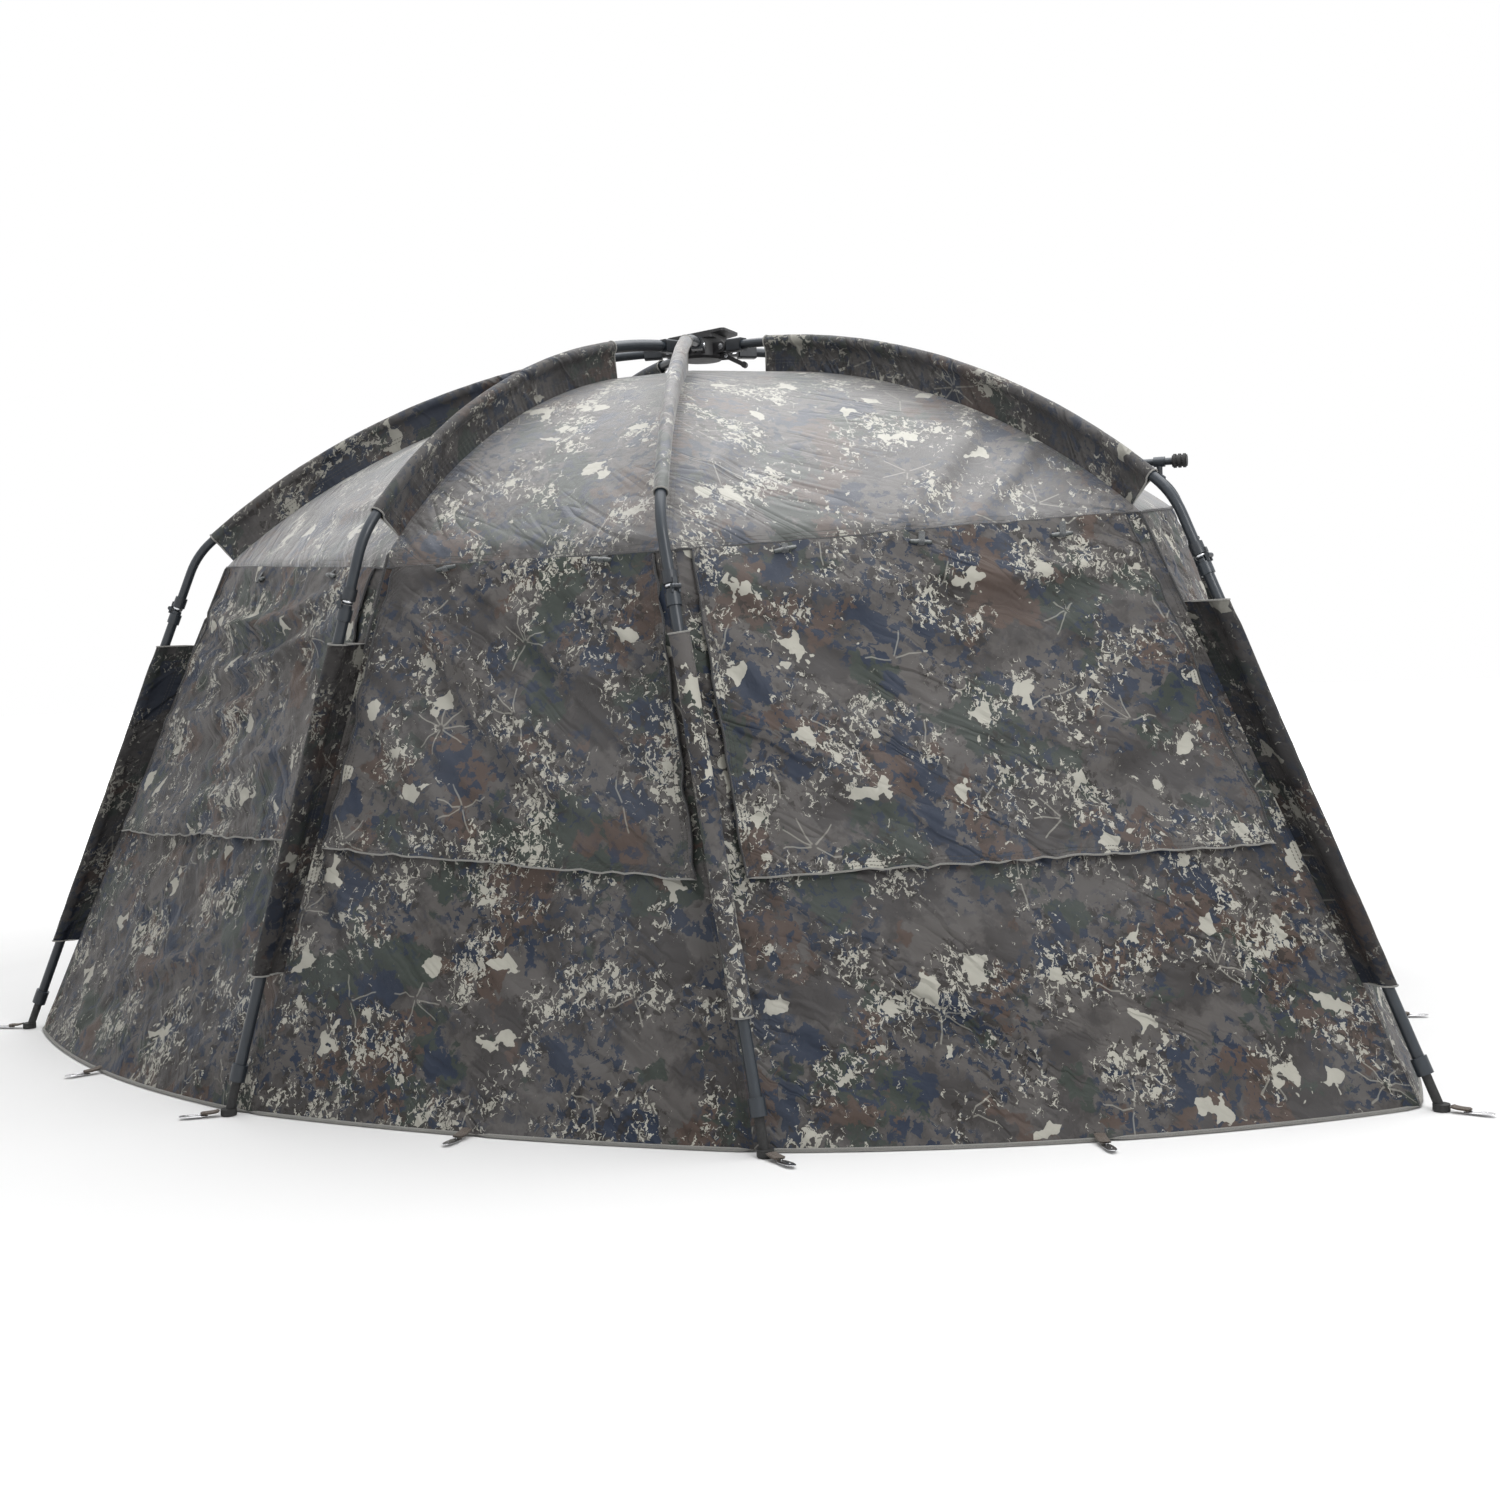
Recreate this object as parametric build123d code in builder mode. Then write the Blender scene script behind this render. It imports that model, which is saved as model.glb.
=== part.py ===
"""Six-rib pop-up fishing and field shelter: folding hub frame, sleeved camouflage skin and pegs.

Millimetres. Origin on the ground under the hub, +Z up, -Y the closed rear wall, +Y the doorway.
A rib is a bowed upper pole hinged to the hub and a straight lower leg hinged at its ferrule.
"""

import os
from math import asin, atan2, cos, degrees, hypot, radians, sin

from build123d import *

# ---------------------------------------------------------------- driving dimensions
HUB_HEIGHT = 1440.0  # rib pivots above the ground
PIVOT_RADIUS = 70.0  # rib pivots from the hub's axis
POLE_START = 92.0  # where an upper pole's tube begins

# name: azimuth from the rear in degrees, bend radius, bend height, foot x, foot y, seam setback
RIB_SHAPES = {
    "rear": (18.3, 924.0, 1020.0, 510.0, -1046.0, 10.0),
    "side": (70.1, 1121.0, 1042.0, 1483.0, -501.0, 34.0),
    "front": (128.8, 1140.0, 1140.0, 1200.0, 1045.0, 22.0),
}
START_SLOPES = {"rear": -4.0, "side": -3.0, "front": -1.0}
SIDES = {"left": -1.0, "right": 1.0}

BEND_TANGENT = 42.0  # length of each tangent of the bend between bow and leg
FERRULE_DROP = 130.0  # from the bend to the ferrule, along the leg
UPPER_RADIUS = 9.5
LOWER_RADIUS = 10.0
TUBE_WALL = 1.6
JOINT_GAP = 1.0  # open gap each side of the ferrule plane

HINGE_OFFSET = 15.0  # hinge pin outside the leg's centre line
LUG_RADIUS = 4.5
LUG_WIDTH = 8.0
FORK_GAP = 0.4
FORK_WIDTH = 4.0
RING_RADIUS = 13.0
RING_START = 8.0
RING_LENGTH = 22.0
HINGE_PIN_RADIUS = 2.0
PIN_CLEARANCE = 0.06
LUG_ROOT = 4.0  # how far a lug's web reaches back into its ring
LUG_HEEL = 8.0
LUG_HEEL_DEPTH = 3.5
RING_SEAT = 0.05
SOCKET_ROOT = 2.0

FOOT_TUBE_RADIUS = 8.0
FOOT_CLEARANCE = 0.4
FOOT_TOP = 330.0  # how far the telescopic foot reaches up inside its leg
COLLAR_LOW = 62.0  # lower end of the leg and its locking collar, along the leg
COLLAR_LENGTH = 30.0
COLLAR_RADIUS = 14.0
FOOT_PAD_RADIUS = 14.0
FOOT_PAD_HEIGHT = 12.0
FOOT_PAD_EDGE = 2.0
FOOT_TUBE_LIFT = 4.0  # tube's end above the pad's underside
FOOT_PLUG = 52.0  # solid length at the foot tube's lower end

SKIN_DEPTH = 62.0  # from a pole's centre line to the skin it carries
HEM_INSET = 34.0  # hem corner inside its foot
HEM_HEIGHT = 3.0
CLOTH = 2.0
BORDER_GAP = 1.5
SPLIT_DROP = 108.0  # depth of the wall strip that belongs to the roof panel
SPLIT_GAP = 1.5
ROOF_ROWS = 7
CROWN_RADIUS = 66.0
CROWN_GAP = 2.5
HEM_BULGES = {"rear": 22.0, "rear_side": 58.0, "front_side": 45.0}
SPLIT_BULGE_SHARE = 0.1  # of the hem's bulge, at the height where roof and wall meet
FRONT_PEAK = (0.0, 70.0, 26.0)  # how far the front edge's middle stands out and up
DOOR_JAMB = 130.0  # skin beside the doorway

SLEEVE_RADIUS = 15.5
SLEEVE_BORE = 12.5
SLEEVE_FIN = 1.6
FIN_ROOT = 0.5  # fin's overlap into the sleeve's wall
FIN_GAP = 3.0
SHORTEST_FIN = 4.0
UPPER_SLEEVE_START = {"rear_left": 0.20, "rear_right": 0.13}  # share of the bow left bare at the hub
UPPER_SLEEVE_USUAL_START = 0.09
UPPER_SLEEVE_END = {"rear": 0.99, "side": 0.99, "front": 0.96}
LOWER_SLEEVE = {"rear": (845.0, 215.0), "side": (850.0, 200.0), "front": (955.0, 205.0)}

FLAP_LIFT = 8.0
FLAP_BOTTOM = 450.0
FLAP_MARGIN = 0.07  # share of a panel left bare beside each rib
FLAP_ROWS = 3
HEM_ROWS = 3
# the two ribs of each panel, and its toggles' places along the seam from the first to the second
TOGGLES = {
    ("rear_left", "rear_right"): (0.24, 0.80),
    ("rear_right", "side_right"): (0.24, 0.52, 0.82),
    ("rear_left", "side_left"): (0.26, 0.70),
}
TOGGLE_LENGTH = 35.0
TOGGLE_RADIUS = 3.5
TOGGLE_LIFT = 22.0
TOGGLE_DROP = 36.0
TAB_WIDTH = 14.0
TAB_LENGTH = 16.0
TAB_THICKNESS = 1.5
TAB_RAISE = 10.0  # tab's middle above its toggle

PEG_LENGTH = 52.0
PEG_WIDTH = 18.0
PEG_HEIGHT = 3.0
PEG_REACH = 42.0
PEG_CORNER = 8.0
PEG_REST = 0.5  # peg above the ground
LOOP_WIDTH = 20.0
LOOP_THICKNESS = 1.6
LOOP_START = 1.0
LOOP_LENGTH = 37.0
LOOP_LIFT = 0.2
PEG_SPREAD = 4.0  # from a foot pad to its peg's loop
PEG_SHIFT = 16.0  # from a panel's middle to its peg
PEG_HEM_GAP = 6.0

BAR_RADIUS = 8.5
BAR_INNER = 200.0  # bar from its clip towards the doorway's middle
BAR_OUTER = 30.0
BAR_CAP_LENGTH = 34.0
BAR_CAP_RADIUS = 16.5
BAR_CAP_GROOVE = 3.0
BAR_CAP_RIDGE = 6.0
BAR_CAP_PITCH = 11.0
BAR_CAP_RIDGES = 3
BAR_RISE = 41.0  # bar above the end of the front bow
CLIP_LENGTH = 26.0
CLIP_WALL = 3.5
CLIP_BASE_RADIUS = 7.0
CLIP_BASE = 7.0
SWIVEL_GAP = 0.6
POLE_COLLAR_RADIUS = 13.5
POLE_COLLAR_LENGTH = 14.0

CORE_RADIUS = 48.0
CORE_LOW, CORE_HIGH = 1420.0, 1462.0
EYE_RADIUS = 10.0
EYE_WIDTH = 14.0
EAR_RADIUS = 11.0
EAR_REACH = 30.0
EAR_WIDTH = 5.0
EAR_GAP = 0.5
PIN_RADIUS = 4.0
PIN_HEAD_RADIUS = 6.5
PIN_HEAD = 2.5
SOCKET_START, SOCKET_END = 84.0, 122.0
SOCKET_WIDTH, SOCKET_HEIGHT = 25.0, 27.0
SOCKET_CLEARANCE = 0.7
LEVER_AZIMUTH = 99.0
LEVER_PIVOT = (58.0, 1425.0)
LEVER_LENGTH = 42.0
LEVER_SLOPE = -28.0
LEVER_HEIGHT = 9.0
LEVER_WIDTH = 14.0
LEVER_EYE_RADIUS = 6.0
LEVER_TIP_RADIUS = 6.5
LEVER_EDGE = 1.2
LEVER_PIN_RADIUS = 2.5
LEVER_PIN_HEAD_RADIUS = 4.0
LEVER_PIN_HEAD = 2.0
LEVER_LUG_RADIUS = 5.0
LEVER_LUG_REACH = 22.0
LEVER_LUG_WIDTH = 3.0
LEVER_GAP = 0.6
LEVER_LUG_MIDDLE = LEVER_WIDTH / 2 + LEVER_GAP + LEVER_LUG_WIDTH / 2
CORE_CHAMFER = 5.0
SOCKET_CORNER = 4.0

PLATE_BACK, PLATE_STEP, PLATE_FRONT = -62.0, 46.0, 72.0  # along X
PLATE_WIDTH = 88.0
PLATE_THICKNESS = 5.0
PLATE_STEP_RISE, PLATE_TIP_RISE = 8.0, 12.0
PLATE_CORNER = 10.0

UP = Vector(0, 0, 1)
parts = {}
os.makedirs("parts", exist_ok=True)


def keep(name, builder):
    """Label a finished piece and write it."""
    builder.part.label = name
    parts[name] = builder.part
    export_step(builder.part, "parts/" + name + ".step")


# ---------------------------------------------------------------- rib geometry
class Rib:
    """Centre lines, directions and skin curve of one rib."""

    def __init__(self, kind, side):
        azimuth, bend_r, bend_z, foot_x, foot_y, setback = RIB_SHAPES[kind]
        self.kind, self.side = kind, side
        self.name = kind + "_" + side
        self.sign = SIDES[side]
        angle = radians(azimuth)
        self.out = Vector(self.sign * sin(angle), -cos(angle), 0)
        self.across = UP.cross(self.out)
        self.foot = Vector(self.sign * foot_x, foot_y, 0)
        self.bend = self.out * bend_r + UP * bend_z
        self.pivot = self.out * PIVOT_RADIUS + UP * HUB_HEIGHT

        chord = atan2(bend_z - HUB_HEIGHT, bend_r - POLE_START)
        self.end_slope = 2 * chord - radians(START_SLOPES[kind])
        self.bow_end_tangent = self.direction(self.end_slope)
        end_r = bend_r - BEND_TANGENT * cos(self.end_slope)
        end_z = bend_z - BEND_TANGENT * sin(self.end_slope)
        chord = atan2(end_z - HUB_HEIGHT, end_r - POLE_START)
        self.start_slope = 2 * chord - self.end_slope
        turn = self.start_slope - self.end_slope
        self.radius = hypot(end_z - HUB_HEIGHT, end_r - POLE_START) / (2 * sin(turn / 2))
        self.centre = (
            POLE_START + self.radius * sin(self.start_slope),
            HUB_HEIGHT - self.radius * cos(self.start_slope),
        )
        self.seam_slope = self.end_slope + (setback - BEND_TANGENT) / self.radius
        self.bow_start = self.bow_point(self.start_slope, 0)
        self.bow_end = self.bow_point(self.end_slope, 0)

        self.down = (self.foot - self.bend).normalized()
        self.leg_start = self.bend + self.down * BEND_TANGENT
        self.ferrule = self.bend + self.down * FERRULE_DROP
        flat = Vector(self.down.X, self.down.Y, 0)
        self.leg_out = flat.normalized()
        self.lug = (self.leg_out * -self.down.Z + UP * flat.length).normalized()
        self.hinge = self.ferrule + self.lug * HINGE_OFFSET

        self.seam = self.bow_point(self.seam_slope, SKIN_DEPTH)
        self.hem = self.foot - self.leg_out * HEM_INSET + UP * HEM_HEIGHT
        edge = self.hem - self.seam
        self.split = self.seam + edge * (SPLIT_DROP / -edge.Z)

    def direction(self, slope):
        return self.out * cos(slope) + UP * sin(slope)

    def bow_point(self, slope, depth):
        """Point of the bow where it has this slope, pushed inwards by depth."""
        r = self.centre[0] - (self.radius - depth) * sin(slope)
        z = self.centre[1] + (self.radius - depth) * cos(slope)
        return self.out * r + UP * z

    def skin_point(self, share):
        """Skin under the bow, from the crown (0) to the seam corner (1)."""
        top = asin((self.centre[0] - CROWN_RADIUS) / (self.radius - SKIN_DEPTH))
        return self.bow_point(top + share * (self.seam_slope - top), SKIN_DEPTH)

    def leg_point(self, height):
        """Point of the leg's centre line at a height."""
        return self.foot - self.down * (height / -self.down.Z)

    def wall_point(self, height):
        """Point of the wall's corner line at a height."""
        return self.seam + (self.hem - self.seam) * ((self.seam.Z - height) / (self.seam.Z - self.hem.Z))


RING_ORDER = [
    ("rear", "left"),
    ("rear", "right"),
    ("side", "right"),
    ("front", "right"),
    ("front", "left"),
    ("side", "left"),
]
ribs = [Rib(kind, side) for kind, side in RING_ORDER]
by_name = {rib.name: rib for rib in ribs}


def neighbours(rib):
    place = ribs.index(rib)
    return ribs[place - 1], ribs[(place + 1) % len(ribs)]


def is_doorway(a, b):
    return a.kind == "front" and b.kind == "front"


def panel_bulge(a, b):
    """How far the middle of the hem between two ribs stands outside the line of their feet."""
    kinds = {a.kind, b.kind}
    if kinds == {"rear"}:
        return HEM_BULGES["rear"]
    if "rear" in kinds:
        return HEM_BULGES["rear_side"]
    return HEM_BULGES["front_side"]


def outward(a, b):
    middle = (a.foot + b.foot) / 2
    along = (b.foot - a.foot).normalized()
    normal = along.cross(UP)
    return normal if normal.dot(middle) > 0 else normal * -1


def middle_roof(a, b, share):
    """Middle of a roof panel, slightly slack, with a raised peak over the doorway."""
    point = (a.skin_point(share) + b.skin_point(share)) / 2
    if is_doorway(a, b):
        point = point + Vector(*FRONT_PEAK) * share**2
    return point


def middle_split(a, b):
    point = (a.split + b.split) / 2
    if is_doorway(a, b):
        point = point + Vector(*FRONT_PEAK)
    return point + outward(a, b) * (panel_bulge(a, b) * SPLIT_BULGE_SHARE)


def middle_hem(a, b):
    return (a.hem + b.hem) / 2 + outward(a, b) * panel_bulge(a, b)


def towards(start, end, distance):
    return start + (end - start).normalized() * distance


# ---------------------------------------------------------------- cloth
def triangle(a, b, c):
    return Face(Wire.make_polygon([a, b, c], close=True))


def quad(a, b, c, d):
    return [triangle(a, b, c), triangle(a, c, d)]


def cloth_solid(grid, thickness=CLOTH):
    """Closed solid between a grid of points and the same grid pushed along its inner normals."""
    rows, cols = len(grid), len(grid[0])
    inside = []
    for i in range(rows):
        line = []
        for j in range(cols):
            down = grid[min(i + 1, rows - 1)][j] - grid[max(i - 1, 0)][j]
            side = grid[i][min(j + 1, cols - 1)] - grid[i][max(j - 1, 0)]
            line.append(grid[i][j] + down.cross(side).normalized() * -thickness)
        inside.append(line)
    faces = []
    for i in range(rows - 1):
        for j in range(cols - 1):
            faces += quad(grid[i][j], grid[i + 1][j], grid[i + 1][j + 1], grid[i][j + 1])
            faces += quad(inside[i][j], inside[i][j + 1], inside[i + 1][j + 1], inside[i + 1][j])
    rim = [(0, j) for j in range(cols)] + [(i, cols - 1) for i in range(1, rows)]
    rim += [(rows - 1, j) for j in range(cols - 2, -1, -1)] + [(i, 0) for i in range(rows - 2, 0, -1)]
    for (i, j), (k, m) in zip(rim, rim[1:] + rim[:1]):
        faces += quad(grid[i][j], grid[k][m], inside[k][m], inside[i][j])
    solid = Solid(Shell(faces))
    return solid if solid.volume > 0 else Solid(Shell([-face for face in faces]))


def roof_grid(rib):
    """Rows from the crown to the bottom of the strip under the seam, across two half panels."""
    before, after = neighbours(rib)
    rows = []
    for step in range(ROOF_ROWS):
        share = step / (ROOF_ROWS - 1)
        spine = rib.skin_point(share)
        left = towards(middle_roof(before, rib, share), spine, BORDER_GAP)
        right = towards(middle_roof(rib, after, share), spine, BORDER_GAP)
        rows.append([left, spine, right])
    spine = rib.split + UP * SPLIT_GAP
    left = towards(middle_split(before, rib) + UP * SPLIT_GAP, spine, BORDER_GAP)
    right = towards(middle_split(rib, after) + UP * SPLIT_GAP, spine, BORDER_GAP)
    rows.append([left, spine, right])
    return rows


def wall_edge(rib, other, top):
    """Border of a wall half panel: the panel's middle line, or the edge of the doorway."""
    spine = rib.split if top else rib.hem
    if is_doorway(rib, other):
        return towards(spine, other.split if top else other.hem, DOOR_JAMB)
    middle = middle_split(rib, other) if top else middle_hem(rib, other)
    return towards(middle, spine, BORDER_GAP)


def wall_grid(rib):
    """Rows from the split down to the hem, across two half panels, with FLAP_ROWS behind the flaps."""
    before, after = neighbours(rib)
    drop = UP * -SPLIT_GAP
    top = [wall_edge(rib, before, True) + drop, rib.split + drop, wall_edge(rib, after, True) + drop]
    low = [wall_edge(rib, before, False), rib.hem, wall_edge(rib, after, False)]
    flap_share = (rib.split.Z - FLAP_BOTTOM) / (rib.split.Z - rib.hem.Z)
    shares = [flap_share * step / FLAP_ROWS for step in range(FLAP_ROWS + 1)]
    shares += [flap_share + (1 - flap_share) * step / HEM_ROWS for step in range(1, HEM_ROWS + 1)]
    return [[upper + (lower - upper) * share for upper, lower in zip(top, low)] for share in shares]


def flap_grids(rib):
    """Outer window flaps of the half panels on each side of a rib, below the split."""
    before, after = neighbours(rib)
    grids = []
    for other, column in ((before, 0), (after, 2)):
        if "front" in (rib.kind, other.kind):
            continue
        lift = outward(rib, other) * FLAP_LIFT
        grid = []
        for row in wall_grid(rib)[: FLAP_ROWS + 1]:
            spine, edge = row[1] + lift, row[column] + lift
            spine = spine + (edge - spine) * (2 * FLAP_MARGIN)
            grid.append([edge, spine] if column == 0 else [spine, edge])
        grids.append(grid)
    return grids


def leg_sleeve(rib):
    """Sleeve around the leg with the fin that ties it to the wall."""
    high, low = LOWER_SLEEVE[rib.kind]
    start, end = rib.leg_point(high), rib.leg_point(low)
    inward = rib.wall_point((high + low) / 2) - (start + end) / 2
    plane = Plane(origin=start, x_dir=inward - rib.down * inward.dot(rib.down), z_dir=rib.down)
    shallow = (rib.wall_point(low) - end).length
    with BuildPart() as sleeve:
        with BuildSketch(plane):
            Circle(SLEEVE_RADIUS)
            Circle(SLEEVE_BORE, mode=Mode.SUBTRACT)
        extrude(amount=(end - start).length)
        with BuildSketch(plane):
            with Locations((SLEEVE_BORE + FIN_ROOT, 0)):
                fin = max(shallow - SLEEVE_RADIUS - FIN_GAP, SHORTEST_FIN)
                Rectangle(fin, SLEEVE_FIN, align=(Align.MIN, Align.CENTER))
        extrude(amount=(end - start).length)
    return sleeve.part


def bow_sleeve(rib, bow):
    """Sleeve around the bow with the fin that hangs the roof from it."""
    start = UPPER_SLEEVE_START.get(rib.name, UPPER_SLEEVE_USUAL_START)
    edge = bow.trim(start, UPPER_SLEEVE_END[rib.kind])
    tangent = edge % 0
    plane = Plane(origin=edge @ 0, x_dir=rib.across.cross(tangent), z_dir=tangent)
    if plane.x_dir.Z > 0:
        plane = Plane(origin=edge @ 0, x_dir=plane.x_dir * -1, z_dir=tangent)
    with BuildPart() as sleeve:
        with BuildSketch(plane):
            Circle(SLEEVE_RADIUS)
            with Locations((SLEEVE_BORE + FIN_ROOT, 0)):
                fin = SKIN_DEPTH - SLEEVE_BORE - FIN_ROOT - SHORTEST_FIN
                Rectangle(fin, SLEEVE_FIN, align=(Align.MIN, Align.CENTER))
            Circle(SLEEVE_BORE, mode=Mode.SUBTRACT)
        sweep(path=edge)
    return sleeve.part


# ---------------------------------------------------------------- poles and legs
def build_upper_pole(rib):
    tangent = rib.direction(rib.start_slope)
    with BuildLine() as centre:
        TangentArc(rib.bow_start, rib.bow_end, tangent=tangent)
        TangentArc(rib.bow_end, rib.leg_start, tangent=rib.bow_end_tangent)
        Line(rib.leg_start, rib.ferrule - rib.down * JOINT_GAP)
    with BuildPart() as pole:
        with BuildSketch(Plane(origin=rib.bow_start, z_dir=tangent)):
            Circle(UPPER_RADIUS)
            Circle(UPPER_RADIUS - TUBE_WALL, mode=Mode.SUBTRACT)
        sweep(path=centre.line)
    keep("upper_pole_" + rib.name, pole)
    return centre.edges().sort_by(Edge.length)[-1]


def build_fittings(rib):
    """Hub knuckle and ferrule hinge bracket of one upper pole, and the bar clip on a front rib."""
    knuckle_plane = Plane(origin=rib.pivot, x_dir=rib.out, z_dir=rib.out.cross(UP))
    tube_run = rib.direction(rib.start_slope)
    socket_plane = Plane(
        origin=rib.bow_start - tube_run * (POLE_START - SOCKET_START), x_dir=rib.across, z_dir=tube_run
    )
    ferrule_plane = Plane(origin=rib.ferrule, x_dir=rib.lug, z_dir=rib.down * -1)
    lug_plane = Plane(origin=rib.hinge, x_dir=rib.lug, z_dir=ferrule_plane.y_dir * -1)
    with BuildPart() as fittings:
        with BuildSketch(knuckle_plane):
            Circle(EYE_RADIUS)
            knuckle_reach = SOCKET_START - PIVOT_RADIUS + SOCKET_ROOT
            Rectangle(knuckle_reach, 2 * EYE_RADIUS, align=(Align.MIN, Align.CENTER))
            Circle(PIN_RADIUS + PIN_CLEARANCE, mode=Mode.SUBTRACT)
        extrude(amount=EYE_WIDTH / 2, both=True)
        with BuildSketch(socket_plane):
            RectangleRounded(SOCKET_WIDTH, SOCKET_HEIGHT, SOCKET_CORNER)
        extrude(amount=SOCKET_END - SOCKET_START)
        with BuildSketch(socket_plane.offset(POLE_START - SOCKET_START - JOINT_GAP)):
            Circle(UPPER_RADIUS + SOCKET_CLEARANCE)
        extrude(amount=SOCKET_END - SOCKET_START, mode=Mode.SUBTRACT)
        with BuildSketch(ferrule_plane.offset(RING_START)):
            Circle(RING_RADIUS)
            Circle(UPPER_RADIUS + RING_SEAT, mode=Mode.SUBTRACT)
        extrude(amount=RING_LENGTH)
        with BuildSketch(ferrule_plane.offset(RING_START)):
            with Locations((RING_RADIUS - JOINT_GAP, 0)):
                Rectangle(LUG_HEEL_DEPTH, LUG_WIDTH, align=(Align.MIN, Align.CENTER))
        extrude(amount=LUG_HEEL)
        with BuildSketch(lug_plane):
            Circle(LUG_RADIUS)
        extrude(amount=LUG_WIDTH / 2, both=True)
        with BuildSketch(ferrule_plane):
            with Locations((HINGE_OFFSET - LUG_ROOT, 0)):
                Rectangle(LUG_ROOT, LUG_WIDTH, align=(Align.MIN, Align.CENTER))
        extrude(amount=RING_START + SOCKET_ROOT)
        with BuildSketch(lug_plane):
            Circle(HINGE_PIN_RADIUS + PIN_CLEARANCE)
        extrude(amount=LUG_WIDTH, both=True, mode=Mode.SUBTRACT)
        if rib.kind == "front":
            with BuildSketch(Plane(origin=rib.bow_end, z_dir=rib.bow_end_tangent)):
                Circle(POLE_COLLAR_RADIUS)
            extrude(amount=POLE_COLLAR_LENGTH / 2, both=True)
            with BuildSketch(Plane.XY.move(Location(rib.bow_end))):
                Circle(CLIP_BASE_RADIUS)
            extrude(amount=BAR_RISE - BAR_RADIUS - CLIP_WALL - CLIP_BASE - SWIVEL_GAP)
            with BuildSketch(Plane(origin=rib.bow_end, z_dir=rib.bow_end_tangent)):
                Circle(UPPER_RADIUS + SOCKET_CLEARANCE)
            extrude(amount=POLE_COLLAR_LENGTH, both=True, mode=Mode.SUBTRACT)
    keep("pole_fittings_" + rib.name, fittings)


def build_lower_leg(rib):
    ferrule_plane = Plane(origin=rib.ferrule, x_dir=rib.lug, z_dir=rib.down)
    lug_plane = Plane(origin=rib.hinge, x_dir=rib.lug, z_dir=ferrule_plane.y_dir)
    leg_length = (rib.foot - rib.ferrule).length
    fork_centre = LUG_WIDTH / 2 + FORK_GAP + FORK_WIDTH / 2
    with BuildPart() as leg:
        with BuildSketch(ferrule_plane.offset(JOINT_GAP)):
            Circle(LOWER_RADIUS)
        extrude(amount=leg_length - COLLAR_LOW - JOINT_GAP)
        with BuildSketch(ferrule_plane.offset(RING_START)):
            Circle(RING_RADIUS)
        extrude(amount=RING_LENGTH)
        with BuildSketch(ferrule_plane.offset(leg_length - COLLAR_LOW - COLLAR_LENGTH)):
            Circle(COLLAR_RADIUS)
        extrude(amount=COLLAR_LENGTH)
        with BuildSketch(ferrule_plane.offset(JOINT_GAP)):
            Circle(FOOT_TUBE_RADIUS + FOOT_CLEARANCE)
        extrude(amount=leg_length, mode=Mode.SUBTRACT)
        for side in (-1, 1):
            with BuildSketch(lug_plane.offset(side * fork_centre)):
                Circle(LUG_RADIUS)
            extrude(amount=FORK_WIDTH / 2, both=True)
            with BuildSketch(ferrule_plane):
                with Locations((HINGE_OFFSET - LUG_ROOT, side * fork_centre)):
                    Rectangle(LUG_ROOT, FORK_WIDTH, align=(Align.MIN, Align.CENTER))
            extrude(amount=RING_START + SOCKET_ROOT)
        with BuildSketch(lug_plane):
            Circle(HINGE_PIN_RADIUS)
        extrude(amount=fork_centre, both=True)
    keep("lower_leg_" + rib.name, leg)


def build_foot(rib):
    plane = Plane(origin=rib.foot, x_dir=rib.lug, z_dir=rib.down * -1)
    with BuildPart() as foot:
        with BuildSketch(plane.offset(FOOT_TUBE_LIFT)):
            Circle(FOOT_TUBE_RADIUS)
        extrude(amount=FOOT_TOP - FOOT_TUBE_LIFT)
        with BuildSketch(plane.offset(FOOT_PLUG)):
            Circle(FOOT_TUBE_RADIUS - TUBE_WALL)
        extrude(amount=FOOT_TOP, mode=Mode.SUBTRACT)
        with BuildSketch(Plane.XY.move(Location(rib.foot))):
            Circle(FOOT_PAD_RADIUS)
        extrude(amount=FOOT_PAD_HEIGHT)
        fillet(foot.edges().group_by(Axis.Z)[0], FOOT_PAD_EDGE)
        with BuildSketch(Plane.XY.move(Location(rib.foot))):
            Circle(2 * FOOT_PAD_RADIUS)
        extrude(amount=-2 * FOOT_PAD_HEIGHT, mode=Mode.SUBTRACT)
    keep("foot_" + rib.name, foot)


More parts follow.
